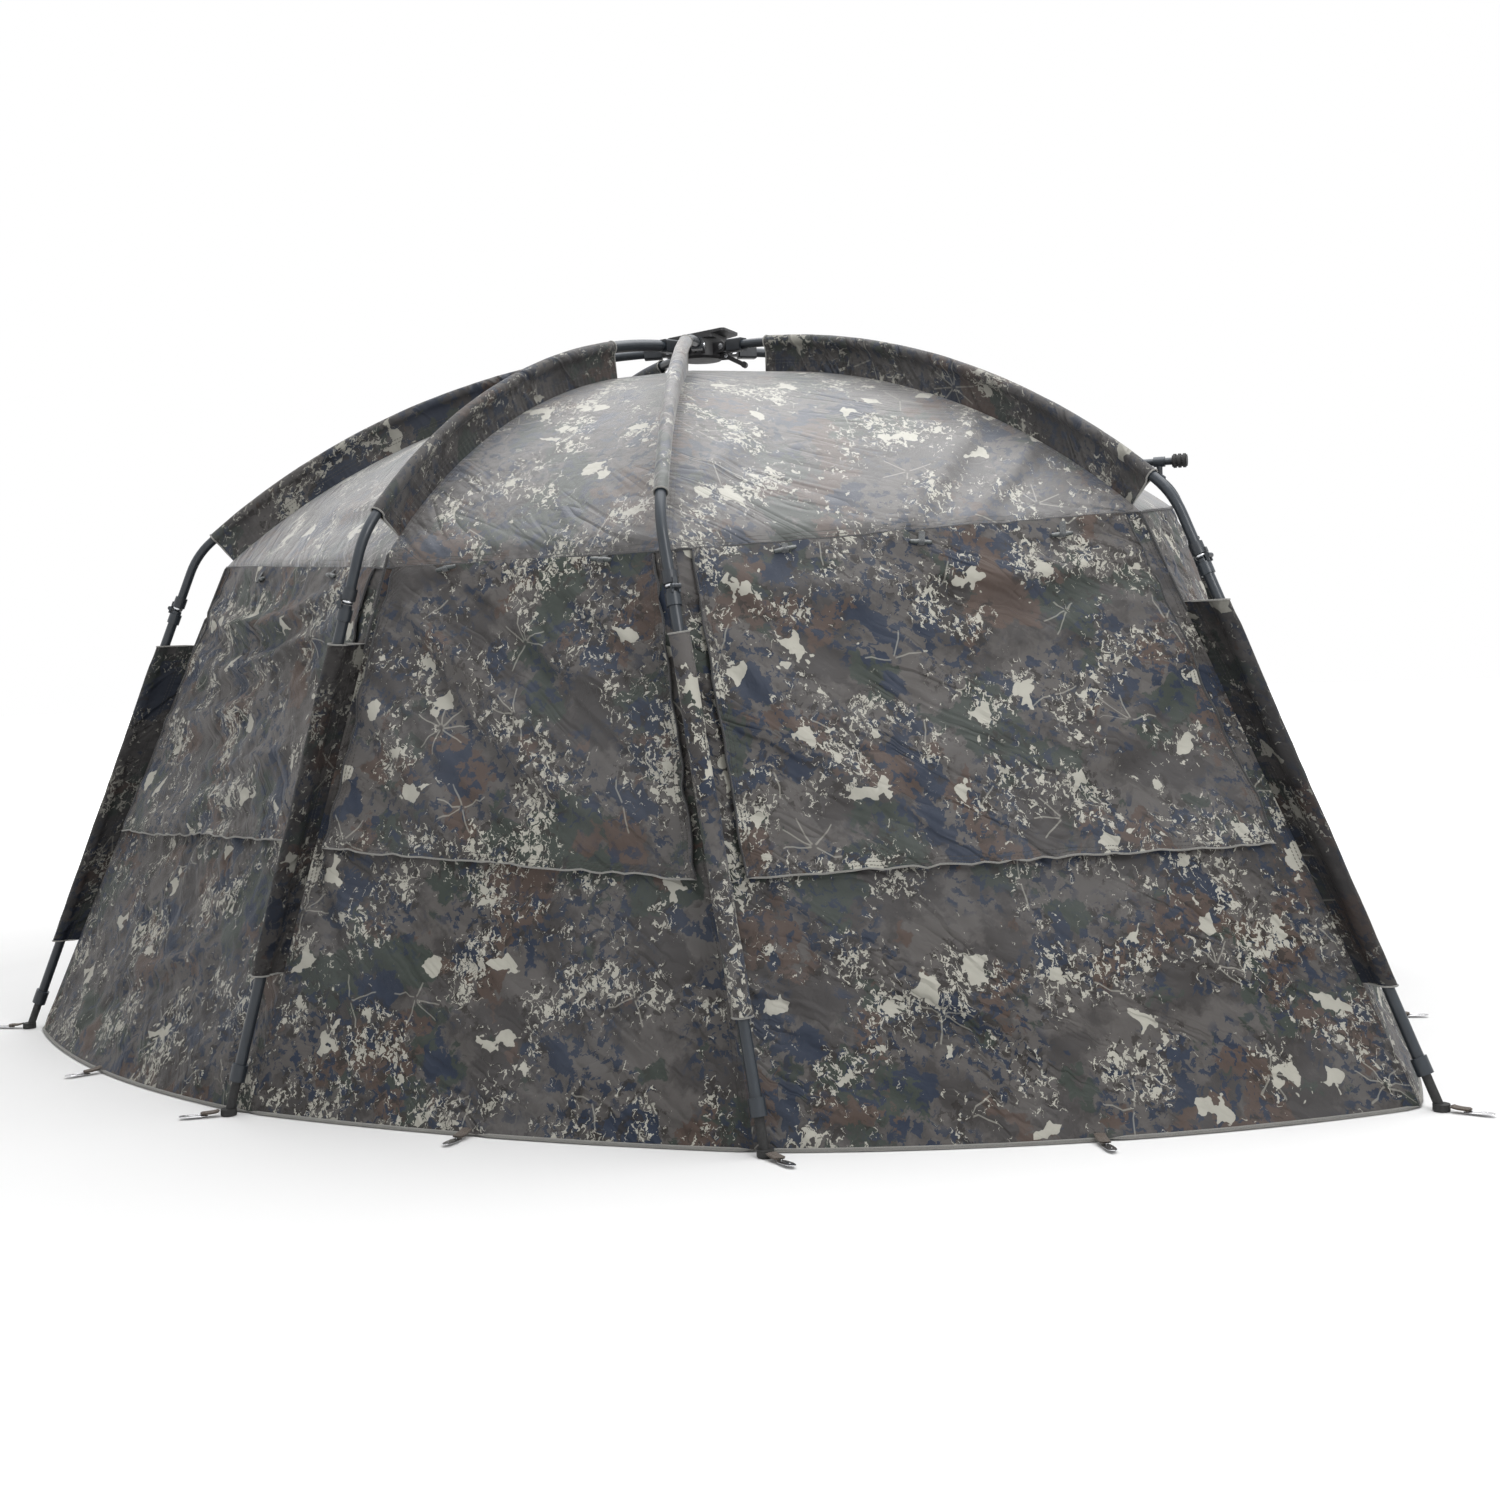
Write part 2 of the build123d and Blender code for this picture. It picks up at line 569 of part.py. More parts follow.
# ---------------------------------------------------------------- hub
def build_hub():
    ear_offset = EYE_WIDTH / 2 + EAR_GAP + EAR_WIDTH / 2
    with BuildPart() as block:
        with BuildSketch(Plane.XY.offset(CORE_LOW)):
            Circle(CORE_RADIUS)
        extrude(amount=CORE_HIGH - CORE_LOW)
        chamfer(block.edges().group_by(Axis.Z)[0], CORE_CHAMFER)
        for rib in ribs:
            plane = Plane(origin=rib.pivot, x_dir=rib.out, z_dir=rib.out.cross(UP))
            for side in (-1, 1):
                with BuildSketch(plane.offset(side * ear_offset)):
                    Circle(EAR_RADIUS)
                    Rectangle(EAR_REACH, 2 * EAR_RADIUS, align=(Align.MAX, Align.CENTER))
                extrude(amount=EAR_WIDTH / 2, both=True)
            with BuildSketch(plane):
                Circle(PIN_RADIUS + PIN_CLEARANCE)
            extrude(amount=EYE_WIDTH, both=True, mode=Mode.SUBTRACT)
        lever = lever_plane()
        for side in (-1, 1):
            with BuildSketch(lever.offset(side * LEVER_LUG_MIDDLE)):
                lever_lug_outline()
            extrude(amount=LEVER_LUG_WIDTH / 2, both=True)
    keep("hub_block", block)

    with BuildPart() as plate:
        with BuildSketch(Plane.XZ.offset(-PLATE_WIDTH / 2)):
            with BuildLine():
                Polyline(
                    (PLATE_BACK, CORE_HIGH),
                    (PLATE_STEP, CORE_HIGH),
                    (PLATE_STEP, CORE_HIGH + PLATE_STEP_RISE),
                    (PLATE_FRONT, CORE_HIGH + PLATE_TIP_RISE),
                    (PLATE_FRONT, CORE_HIGH + PLATE_TIP_RISE + PLATE_THICKNESS),
                    (PLATE_BACK, CORE_HIGH + PLATE_THICKNESS),
                    close=True,
                )
            make_face()
        extrude(amount=PLATE_WIDTH)
        fillet(plate.edges().filter_by(Axis.Z), PLATE_CORNER)
    keep("hub_top_plate", plate)

    with BuildPart() as pins:
        reach = ear_offset + EAR_WIDTH / 2
        for rib in ribs:
            plane = Plane(origin=rib.pivot, x_dir=rib.out, z_dir=rib.out.cross(UP))
            with BuildSketch(plane):
                Circle(PIN_RADIUS)
            extrude(amount=reach, both=True)
            for side in (-1, 1):
                with BuildSketch(plane.offset(side * (reach + PIN_HEAD / 2))):
                    Circle(PIN_HEAD_RADIUS)
                extrude(amount=PIN_HEAD / 2, both=True)
    keep("hub_pins", pins)

    lever = lever_plane()
    slope = radians(LEVER_SLOPE)
    with BuildPart() as handle:
        with BuildSketch(lever):
            Circle(LEVER_EYE_RADIUS)
            with Locations(Location((0, 0), LEVER_SLOPE)):
                Rectangle(LEVER_LENGTH, LEVER_HEIGHT, align=(Align.MIN, Align.CENTER))
            with Locations((LEVER_LENGTH * cos(slope), LEVER_LENGTH * sin(slope))):
                Circle(LEVER_TIP_RADIUS)
            Circle(LEVER_PIN_RADIUS + PIN_CLEARANCE, mode=Mode.SUBTRACT)
        extrude(amount=LEVER_WIDTH / 2, both=True)
        round_edges = handle.faces().filter_by(GeomType.CYLINDER).edges().filter_by(GeomType.LINE)
        fillet(round_edges, LEVER_EDGE)
    keep("release_lever", handle)

    with BuildPart() as lever_pin:
        with BuildSketch(lever):
            Circle(LEVER_PIN_RADIUS)
        reach = LEVER_LUG_MIDDLE + LEVER_LUG_WIDTH / 2
        extrude(amount=reach, both=True)
        for side in (-1, 1):
            with BuildSketch(lever.offset(side * (reach + LEVER_PIN_HEAD / 2))):
                Circle(LEVER_PIN_HEAD_RADIUS)
            extrude(amount=LEVER_PIN_HEAD / 2, both=True)
    keep("release_lever_pin", lever_pin)

    with BuildPart() as crown:
        with BuildSketch(Plane.XY.offset(crown_height() - CLOTH)):
            with BuildLine():
                corners = [rib.out * (CROWN_RADIUS - CROWN_GAP) for rib in ribs]
                Polyline(*[(corner.X, corner.Y) for corner in corners], close=True)
            make_face()
        extrude(amount=CLOTH)
    keep("roof_crown", crown)


def crown_height():
    return sum(rib.skin_point(0).Z for rib in ribs) / len(ribs)


def lever_plane():
    angle = radians(LEVER_AZIMUTH)
    out = Vector(sin(angle), -cos(angle), 0)
    return Plane(origin=out * LEVER_PIVOT[0] + UP * LEVER_PIVOT[1], x_dir=out, z_dir=out.cross(UP))


def lever_lug_outline():
    Circle(LEVER_LUG_RADIUS)
    Rectangle(LEVER_LUG_REACH, 2 * LEVER_LUG_RADIUS, align=(Align.MAX, Align.CENTER))
    Circle(LEVER_PIN_RADIUS + PIN_CLEARANCE, mode=Mode.SUBTRACT)


# ---------------------------------------------------------------- front bars
def build_front_bar(rib):
    """Stub bar in the clip on a front rib, with its ribbed rubber end cap."""
    centre = rib.bow_end + UP * BAR_RISE
    outwards = Plane(origin=centre, x_dir=(0, 1, 0), z_dir=(rib.sign, 0, 0))
    clip_low = BAR_RADIUS + CLIP_WALL + CLIP_BASE
    with BuildPart() as bar:
        with BuildSketch(outwards.offset(-BAR_INNER)):
            Circle(BAR_RADIUS)
            Circle(BAR_RADIUS - TUBE_WALL, mode=Mode.SUBTRACT)
        extrude(amount=BAR_INNER + BAR_OUTER)
        with BuildSketch(outwards):
            Circle(BAR_RADIUS + CLIP_WALL)
        extrude(amount=CLIP_LENGTH / 2, both=True)
        with BuildSketch(Plane.XY.move(Location(centre - UP * clip_low))):
            Circle(CLIP_BASE_RADIUS)
        extrude(amount=CLIP_WALL + CLIP_BASE + JOINT_GAP)
        with BuildSketch(outwards.offset(-BAR_INNER)):
            Circle(BAR_RADIUS - TUBE_WALL)
        extrude(amount=BAR_INNER + BAR_OUTER, mode=Mode.SUBTRACT)
    keep("front_bar_" + rib.side, bar)
    with BuildPart() as cap:
        with BuildSketch(outwards.offset(BAR_OUTER + RING_SEAT)):
            Circle(BAR_CAP_RADIUS - BAR_CAP_GROOVE)
        extrude(amount=BAR_CAP_LENGTH)
        for number in range(BAR_CAP_RIDGES):
            place = BAR_OUTER + BAR_CAP_GROOVE + BAR_CAP_PITCH * number
            with BuildSketch(outwards.offset(place)):
                Circle(BAR_CAP_RADIUS)
            extrude(amount=BAR_CAP_RIDGE)
    keep("bar_cap_" + rib.side, cap)


# ---------------------------------------------------------------- fabric and small pieces
def build_fabric(rib, bow):
    with BuildPart() as roof:
        add(cloth_solid(roof_grid(rib)))
        add(bow_sleeve(rib, bow))
    keep("roof_panel_" + rib.name, roof)
    with BuildPart() as wall:
        add(cloth_solid(wall_grid(rib)))
        add(leg_sleeve(rib))
    keep("wall_panel_" + rib.name, wall)
    if rib.kind == "front":
        return
    with BuildPart() as flaps:
        for grid in flap_grids(rib):
            add(cloth_solid(grid))
    keep("window_flaps_" + rib.name, flaps)


def build_toggles(rib):
    with BuildPart() as toggles:
        for (first, second), shares in TOGGLES.items():
            a, b = by_name[first], by_name[second]
            normal = outward(a, b)
            along = (b.seam - a.seam).normalized()
            for share in shares:
                owner = a if share < 0.5 else b
                if owner is not rib:
                    continue
                point = a.seam + (b.seam - a.seam) * share + normal * TOGGLE_LIFT - UP * TOGGLE_DROP
                with BuildSketch(Plane(origin=point, z_dir=along)):
                    Circle(TOGGLE_RADIUS)
                extrude(amount=TOGGLE_LENGTH / 2, both=True)
                tab = Plane(origin=point + UP * TAB_RAISE, x_dir=along, z_dir=normal)
                with BuildSketch(tab.offset(-TAB_THICKNESS)):
                    Rectangle(TAB_WIDTH, TAB_LENGTH)
                extrude(amount=TAB_THICKNESS)
    keep("toggles_" + rib.name, toggles)


def peg_places(rib):
    """Loop and direction of each peg that this leg carries: its foot's, and its panels' hems'."""
    places = [(rib.foot + rib.leg_out * (FOOT_PAD_RADIUS + PEG_SPREAD), rib.leg_out)]
    rank = {"rear": 0, "side": 1, "front": 2}
    for other in neighbours(rib):
        owner = min((rank[r.kind], r.side) for r in (rib, other))
        if owner != (rank[rib.kind], rib.side) or is_doorway(rib, other):
            continue
        normal = outward(rib, other)
        along = (other.foot - rib.foot).normalized()
        hem = middle_hem(rib, other) - UP * HEM_HEIGHT
        places.append((hem + normal * PEG_HEM_GAP - along * PEG_SHIFT, normal))
    return places


def build_pegs(rib):
    """Flat peg heads lying on the ground, each with its webbing loop."""
    with BuildPart() as pegs:
        for point, direction in peg_places(rib):
            plane = Plane(origin=point + UP * PEG_REST, x_dir=direction, z_dir=UP)
            with BuildSketch(plane):
                with Locations((PEG_REACH, 0)):
                    RectangleRounded(PEG_LENGTH, PEG_WIDTH, PEG_CORNER)
            extrude(amount=PEG_HEIGHT)
            with BuildSketch(plane.offset(PEG_HEIGHT + LOOP_LIFT)):
                with Locations((LOOP_START, 0)):
                    Rectangle(LOOP_LENGTH, LOOP_WIDTH, align=(Align.MIN, Align.CENTER))
            extrude(amount=LOOP_THICKNESS)
    keep("ground_pegs_" + rib.name, pegs)


for rib in ribs:
    bow = build_upper_pole(rib)
    build_fittings(rib)
    build_lower_leg(rib)
    build_foot(rib)
    build_fabric(rib, bow)
    build_pegs(rib)
    if rib.kind == "front":
        build_front_bar(rib)
    else:
        build_toggles(rib)
build_hub()

print(len(parts), "pieces; hub height", HUB_HEIGHT, "bow slopes",
      {rib.name: (round(degrees(rib.start_slope), 1), round(degrees(rib.end_slope), 1)) for rib in ribs})
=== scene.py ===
"""Looks of the pop up ground blind: camouflage cloth over six jointed ribs that meet in one hub.

Metres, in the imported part's frame: +Z up, -Y the closed rear wall, +Y the open doorway.
"""

import math

import bpy
import numpy as np
from mathutils import Matrix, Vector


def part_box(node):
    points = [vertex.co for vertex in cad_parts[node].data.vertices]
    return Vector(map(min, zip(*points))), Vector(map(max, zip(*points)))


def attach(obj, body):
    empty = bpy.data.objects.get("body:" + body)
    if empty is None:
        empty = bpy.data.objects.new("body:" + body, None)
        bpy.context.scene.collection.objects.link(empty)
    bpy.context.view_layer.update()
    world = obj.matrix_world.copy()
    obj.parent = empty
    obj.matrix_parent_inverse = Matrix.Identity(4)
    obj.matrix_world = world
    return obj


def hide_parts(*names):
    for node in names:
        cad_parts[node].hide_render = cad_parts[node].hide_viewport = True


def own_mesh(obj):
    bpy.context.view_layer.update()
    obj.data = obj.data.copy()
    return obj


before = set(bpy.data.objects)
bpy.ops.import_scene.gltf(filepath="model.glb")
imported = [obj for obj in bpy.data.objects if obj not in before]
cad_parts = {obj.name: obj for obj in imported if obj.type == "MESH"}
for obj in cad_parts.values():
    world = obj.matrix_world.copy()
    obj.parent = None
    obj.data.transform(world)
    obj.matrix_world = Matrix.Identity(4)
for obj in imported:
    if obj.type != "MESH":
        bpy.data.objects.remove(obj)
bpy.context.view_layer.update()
scene = bpy.context.scene

# ---------------- camera

CAMERA_PLACE = (1.5496, -3.6221, 0.7749)
CAMERA_YAW, CAMERA_PITCH, CAMERA_ROLL = 0.3847, -0.0504, 0.0334
camera_data = bpy.data.cameras.new("camera")
camera_data.sensor_width = 36.0
camera_data.lens = 43.38
camera_data.clip_end = 60.0
turn = (Matrix.Rotation(CAMERA_YAW, 3, "Z") @ Matrix.Rotation(CAMERA_PITCH, 3, "X")
        @ Matrix.Rotation(CAMERA_ROLL, 3, "Y"))
axes = Matrix((turn.col[0], turn.col[2], -turn.col[1])).transposed().to_4x4()
scene.camera = bpy.data.objects.new("camera", camera_data)
scene.camera.matrix_world = Matrix.Translation(CAMERA_PLACE) @ axes
scene.collection.objects.link(scene.camera)

# ---------------- the part's own dimensions

UP = np.array((0.0, 0.0, 1.0))
HUB_HEIGHT = 1.440
PIVOT_RADIUS = 0.070
POLE_START = 0.092
RIB_SHAPES = {  # azimuth from the rear, bend radius, bend height, foot x, foot y, seam setback
    "rear": (18.3, 0.924, 1.020, 0.510, -1.046, 0.010),
    "side": (70.1, 1.121, 1.042, 1.483, -0.501, 0.034),
    "front": (128.8, 1.140, 1.140, 1.200, 1.045, 0.022),
}
START_SLOPES = {"rear": -4.0, "side": -3.0, "front": -1.0}
BEND_TANGENT = 0.042
FERRULE_DROP = 0.130
CROWN_RADIUS = 0.066
SKIN_DEPTH = 0.062  # from the middle of a bow in to the roof
HEM_INSET = 0.034
HEM_HEIGHT = 0.003
SPLIT_DROP = 0.108
BULGES = {("rear", "rear"): 0.022, ("rear", "side"): 0.058, ("front", "side"): 0.045}  # of a wall's hem
SEAM_BULGES = {("front", "side"): 0.048}
FRONT_PEAK = np.array((0.0, 0.070, 0.026))
DOOR_JAMB = 0.130
UPPER_SLEEVE = {  # shares of the bow that its sleeve covers
    "rear_left": (0.20, 0.99), "rear_right": (0.28, 0.99), "side_left": (0.09, 0.99),
    "side_right": (0.09, 0.99), "front_left": (0.09, 0.96), "front_right": (0.09, 0.96),
}
LOWER_SLEEVE = {  # heights between which a sleeve covers the leg
    "rear_left": (0.825, 0.245), "rear_right": (0.822, 0.212), "side_left": (0.845, 0.198),
    "side_right": (0.850, 0.200), "front_left": (0.955, 0.205), "front_right": (0.955, 0.205),
}
TOGGLES = {  # places along the seam, from the first rib to the second
    ("rear_left", "rear_right"): (0.24, 0.80),
    ("rear_right", "side_right"): (0.24, 0.52, 0.82),
    ("side_left", "rear_left"): (0.30, 0.74),
}
FLAPS = {  # columns left bare at the sides, and heights of the lower corners
    ("rear_left", "rear_right"): (3, 3, 0.462, 0.416),
    ("rear_right", "side_right"): (4, 3, 0.416, 0.430),
    ("side_left", "rear_left"): (3, 4, 0.440, 0.470),
}
HEM_PEGS = {  # the leg that carries the peg at the middle of each panel's hem
    ("rear_left", "rear_right"): "rear_left", ("rear_right", "side_right"): "rear_right",
    ("side_left", "rear_left"): "rear_left", ("side_right", "front_right"): "side_right",
    ("front_left", "side_left"): "side_left",
}
TOGGLE_LIFT = 0.022
TOGGLE_DROP = 0.036
TOGGLE_TILTS = (0.16, -0.10, 0.06)
BAR_HALF_LENGTH = 0.0205
BAR_STEPS = np.array((-1.0, -0.97, -0.90, -0.5, -0.16, -0.13))  # from one end to the waist
BAR_SIZES = np.array((0.0018, 0.0030, 0.0036, 0.0042, 0.0046, 0.0033))
TAPE_BEND = 0.0052
PEG_REACH = 0.042
PEG_SPREAD = 0.018  # from the middle of a foot to its peg's loop
PEG_SHIFT = 0.016
PEG_HEM_GAP = 0.006
PEG_HEAD, PEG_RIDGE, PEG_STUD = (0.025, 0.0090, 0.0019), (0.017, 0.0022, 0.0014), (0.0022, 0.0022, 0.0009)
PEG_STUD_REACH = 0.012
PEG_TILT = 0.05
LOOP_WIDTH = 0.0185
LOOP_ROOT = 0.0155  # from the middle of a foot to where the loop leaves it
LOOP_RISE = np.array((0.0, 0.0, 0.010))
TAB_WIDTH = 0.0115
EASE = 1.02  # extra cloth in the sleeves and flaps
HEM_RADIUS = 0.0034
SEAM_CORD, JAMB_CORD, FLAP_CORD, FLAP_HEM, CUFF_CORD, EDGE_CORD = 0.0024, 0.0026, 0.0022, 0.0017, 0.0016, 0.0032
SLEEVE_SIZES = {"upper": (0.0128, 0.0007), "lower": (0.0175, 0.0016)}  # radius, and how loosely it lies
SLEEVE_ARC = 128  # degrees to either side that a sleeve wraps round its pole
BARREL_RADIUS = 0.0122
RING_DROP = FERRULE_DROP - 0.0045
RING_STEPS = np.array((-0.0030, -0.0028, -0.0015, 0.0, 0.0013, 0.0015))
RING_SIZES = np.array((0.0097, 0.0106, 0.0110, 0.0110, 0.0106, 0.0097))
CROWN_CUT = 0.14
HEM_FLARE = 0.012
FLARE_START = 0.955  # share of the wall's height where its hem starts to flare
WALL_FULLNESS = 0.8  # power of the arch that a wall blows out in; lower is fuller
FLAP_BOTTOM = 0.44
PRINT_STEP = np.array((1.37, 0.61))  # between the prints of two panels
WALL_PRINT_SHIFT = np.array((0.31, 0.0))
FLAP_PRINT_SHIFT = np.array((0.77, 0.43))
CLOTH_SLOT = "camouflage_cloth"


def unit(v):
    return v / np.linalg.norm(v, axis=-1, keepdims=True)


def at_height(top, bottom, height):
    """Points at those heights on the line from top to bottom."""
    share = (np.asarray(height, float)[..., None] - top[2]) / (bottom[2] - top[2])
    return top + (bottom - top) * share


class Rib:
    """One pole line: bow from the hub to the bend, leg from the bend to the foot, and its cloth edges."""

    def __init__(self, kind, side):
        azimuth, bend_r, bend_z, foot_x, foot_y, setback = RIB_SHAPES[kind]
        sign = -1.0 if side == "left" else 1.0
        turn_z = math.radians(azimuth)
        self.kind, self.name = kind, kind + "_" + side
        self.out = np.array((sign * math.sin(turn_z), -math.cos(turn_z), 0.0))
        self.across = np.cross(UP, self.out)
        self.foot = np.array((sign * foot_x, foot_y, 0.0))
        self.bend = self.out * bend_r + UP * bend_z
        self.pivot = self.out * PIVOT_RADIUS + UP * HUB_HEIGHT
        chord = math.atan2(bend_z - HUB_HEIGHT, bend_r - POLE_START)
        self.end_slope = 2 * chord - math.radians(START_SLOPES[kind])
        end_r = bend_r - BEND_TANGENT * math.cos(self.end_slope)
        end_z = bend_z - BEND_TANGENT * math.sin(self.end_slope)
        chord = math.atan2(end_z - HUB_HEIGHT, end_r - POLE_START)
        self.start_slope = 2 * chord - self.end_slope
        length = math.hypot(end_z - HUB_HEIGHT, end_r - POLE_START)
        self.radius = length / (2 * math.sin((self.start_slope - self.end_slope) / 2))
        self.centre = (POLE_START + self.radius * math.sin(self.start_slope),
                       HUB_HEIGHT - self.radius * math.cos(self.start_slope))
        self.seam_slope = self.end_slope + (setback - BEND_TANGENT) / self.radius
        self.top_slope = math.asin((self.centre[0] - CROWN_RADIUS) / (self.radius - SKIN_DEPTH))
        self.down = unit(self.foot - self.bend)
        self.leg_out = unit(self.down - UP * self.down[2])
        self.seam = self.bow(self.seam_slope, SKIN_DEPTH)
        self.hem = self.foot - self.leg_out * HEM_INSET + UP * HEM_HEIGHT
        self.split_share = SPLIT_DROP / (self.seam[2] - self.hem[2])

    def bow(self, slope, depth):
        """Points on the bow, or that far inside it, at those slopes."""
        slope = np.asarray(slope, float)
        r = self.centre[0] - (self.radius - depth) * np.sin(slope)
        z = self.centre[1] + (self.radius - depth) * np.cos(slope)
        return r[..., None] * self.out + z[..., None] * UP

    def skin(self, share):
        return self.bow(self.top_slope + np.asarray(share) * (self.seam_slope - self.top_slope), SKIN_DEPTH)

    def leg(self, height):
        return at_height(self.bend, self.foot, height)

    def wall(self, height):
        return at_height(self.seam, self.hem, height)


ORDER = ["rear_left", "rear_right", "side_right", "front_right", "front_left", "side_left"]
ribs = {name: Rib(*name.split("_")) for name in ORDER}


# ---------------- meshes

class Shape:
    """Collects vertex grids with their print and trim coordinates, and makes one mesh object of them."""

    def __init__(self):
        self.points, self.prints, self.trims, self.normals = [], [], [], []
        self.faces, self.slots, self.count = [], [], 0

    def grid(self, points, prints=None, trims=None, normals=None, slot=0, wrap=False, flip=False):
        rows, columns = points.shape[:2]
        if prints is None:
            prints = measured(points)
        if trims is None:
            trims = np.full(points.shape[:2] + (2,), 0.5)
        if normals is None:
            normals = surface_normals(points, wrap) * (-1.0 if flip else 1.0)
        index = np.arange(rows * columns).reshape(rows, columns) + self.count
        if wrap:
            index = np.concatenate([index, index[:, :1]], axis=1)
        quads = quads_of(index)[:, ::-1] if flip else quads_of(index)
        self.faces.append(quads)
        self.slots.append(np.full(len(quads), slot, np.int32))
        for store, values in ((self.points, points), (self.prints, prints), (self.trims, trims),
                              (self.normals, normals)):
            store.append(values.reshape(-1, values.shape[-1]))
        self.count += rows * columns
        return self

    def build(self, name, *materials):
        points = np.concatenate(self.points)
        faces = np.concatenate(self.faces)
        mesh = bpy.data.meshes.new(name)
        mesh.vertices.add(len(points))
        mesh.vertices.foreach_set("co", points.astype(np.float32).ravel())
        mesh.loops.add(faces.size)
        mesh.loops.foreach_set("vertex_index", faces.astype(np.int32).ravel())
        mesh.polygons.add(len(faces))
        mesh.polygons.foreach_set("loop_start", np.arange(0, faces.size, 4, dtype=np.int32))
        mesh.polygons.foreach_set("material_index", np.concatenate(self.slots))
        for layer, values in (("print", self.prints), ("trim", self.trims)):
            uv = mesh.uv_layers.new(name=layer)
            uv.data.foreach_set("uv", np.concatenate(values)[faces.ravel()].astype(np.float32).ravel())
        mesh.update()
        mesh.polygons.foreach_set("use_smooth", np.ones(len(faces), bool))
        mesh.normals_split_custom_set_from_vertices(np.concatenate(self.normals).tolist())
        for material in materials:
            mesh.materials.append(material)
        return linked(name, mesh)


def linked(name, data):
    """A new object of the scene that shows a mesh, light or camera."""
    made = bpy.data.objects.new(name, data)
    scene.collection.objects.link(made)
    return made


def quads_of(index):
    """Four-cornered faces between the numbered points of a grid."""
    return np.stack([index[:-1, :-1], index[1:, :-1], index[1:, 1:], index[:-1, 1:]], axis=-1).reshape(-1, 4)


def lengths(points, axis):
    """Running length along one axis of a grid of points."""
    steps = np.linalg.norm(np.diff(points, axis=axis), axis=-1)
    zero = np.zeros_like(np.take(steps, [0], axis=axis))
    return np.concatenate([zero, np.cumsum(steps, axis=axis)], axis=axis)


def measured(points):
    return np.stack([lengths(points, 1), lengths(points, 0)], axis=-1)


def surface_normals(points, wrap=False):
    """Outward normals of a grid whose rows go down and whose columns go round the shelter."""
    if wrap:
        across = np.roll(points, -1, axis=1) - np.roll(points, 1, axis=1)
    else:
        across = np.gradient(points, axis=1)
    down = np.gradient(points, axis=0) if len(points) > 1 else np.zeros_like(points)
    normals = np.cross(down, across)
    size = np.linalg.norm(normals, axis=-1, keepdims=True)
    return normals / np.maximum(size, 1e-12)


def finer(points):
    """Doubles a grid's rows and columns with a smooth four-point scheme."""
    for axis in (0, 1):
        p = np.moveaxis(points, axis, 0)
        padded = np.concatenate([2 * p[:1] - p[1:2], p, 2 * p[-1:] - p[-2:-1]])
        middle = (9 * (padded[1:-2] + padded[2:-1]) - padded[:-3] - padded[3:]) / 16
        out = np.empty((2 * len(p) - 1,) + p.shape[1:])
        out[::2], out[1::2] = p, middle
        points = np.moveaxis(out, 0, axis)
    return points


def noise_field(x, y, seed, size, octaves=3):
    """Smooth value noise from -1 to 1 over coordinates in metres."""
    x, y = np.broadcast_arrays(x, y)
    total, weight = np.zeros(x.shape), 0.0
    for octave in range(octaves):
        table = np.random.default_rng(seed + octave).uniform(-1, 1, (64, 64))
        u, v = x / size * 2 ** octave, y / size * 2 ** octave
        i, j = np.floor(u).astype(int), np.floor(v).astype(int)
        fu, fv = u - i, v - j
        fu, fv = fu * fu * (3 - 2 * fu), fv * fv * (3 - 2 * fv)
        corners = [table[(i + di) % 64, (j + dj) % 64] for di in (0, 1) for dj in (0, 1)]
        value = ((corners[0] * (1 - fv) + corners[1] * fv) * (1 - fu)
                 + (corners[2] * (1 - fv) + corners[3] * fv) * fu)
        total += value * 0.5 ** octave
        weight += 0.5 ** octave
    return total / weight


def sweep(path, profile_axes, profile):
    """Grid of a profile carried along a path: rows along the path, columns round the profile."""
    first, second = profile_axes
    return (path[:, None, :] + profile[..., 0:1] * first[:, None, :] + profile[..., 1:2] * second[:, None, :])


def band(shape, path, across, width, thickness):
    """A flat strap along a path, with its width along one direction and soft edges."""
    ahead = unit(np.gradient(path, axis=0))
    second = unit(np.cross(ahead, across))
    first = np.cross(second, ahead)
    outline = ring(16)
    outline = np.sign(outline) * np.abs(outline) ** 0.35 * np.array((width / 2, thickness / 2))
    ends = np.ones(len(path))
    ends[0] = ends[-1] = 0.4
    shape.grid(sweep(path, (first, second), outline[None] * ends[:, None, None]), wrap=True, flip=True)


def pebble(shape, centre, axes, sizes, power=1.0):
    """A closed rounded body with those half sizes; a lower power makes it squarer."""
    latitude = np.linspace(-89.0, 89.0, 17)[:, None] * math.pi / 180
    longitude = np.linspace(0, 2 * math.pi, 32, endpoint=False)[None]
    parts = (np.cos(latitude) * np.cos(longitude), np.cos(latitude) * np.sin(longitude),
             np.sin(latitude) + 0 * longitude)
    points = np.asarray(centre, float) + sum(
        (np.sign(part) * np.abs(part) ** power * size)[..., None] * np.asarray(axis, float)
        for part, axis, size in zip(parts, axes, sizes))
    shape.grid(points[::-1], wrap=True)


def path_axes(path):
    """Two directions square to a path, turning as little as they can."""
    ahead = unit(np.gradient(path, axis=0))
    side = np.cross(ahead[0], UP if abs(ahead[0][2]) < 0.9 else np.array((1.0, 0.0, 0.0)))
    sides = []
    for direction in ahead:
        side = unit(side - direction * np.dot(side, direction))
        sides.append(side)
    sides = np.array(sides)
    return sides, np.cross(ahead, sides)


def ring(sides):
    angles = np.linspace(0, 2 * np.pi, sides, endpoint=False)
    return np.stack([np.cos(angles), np.sin(angles)], axis=-1)


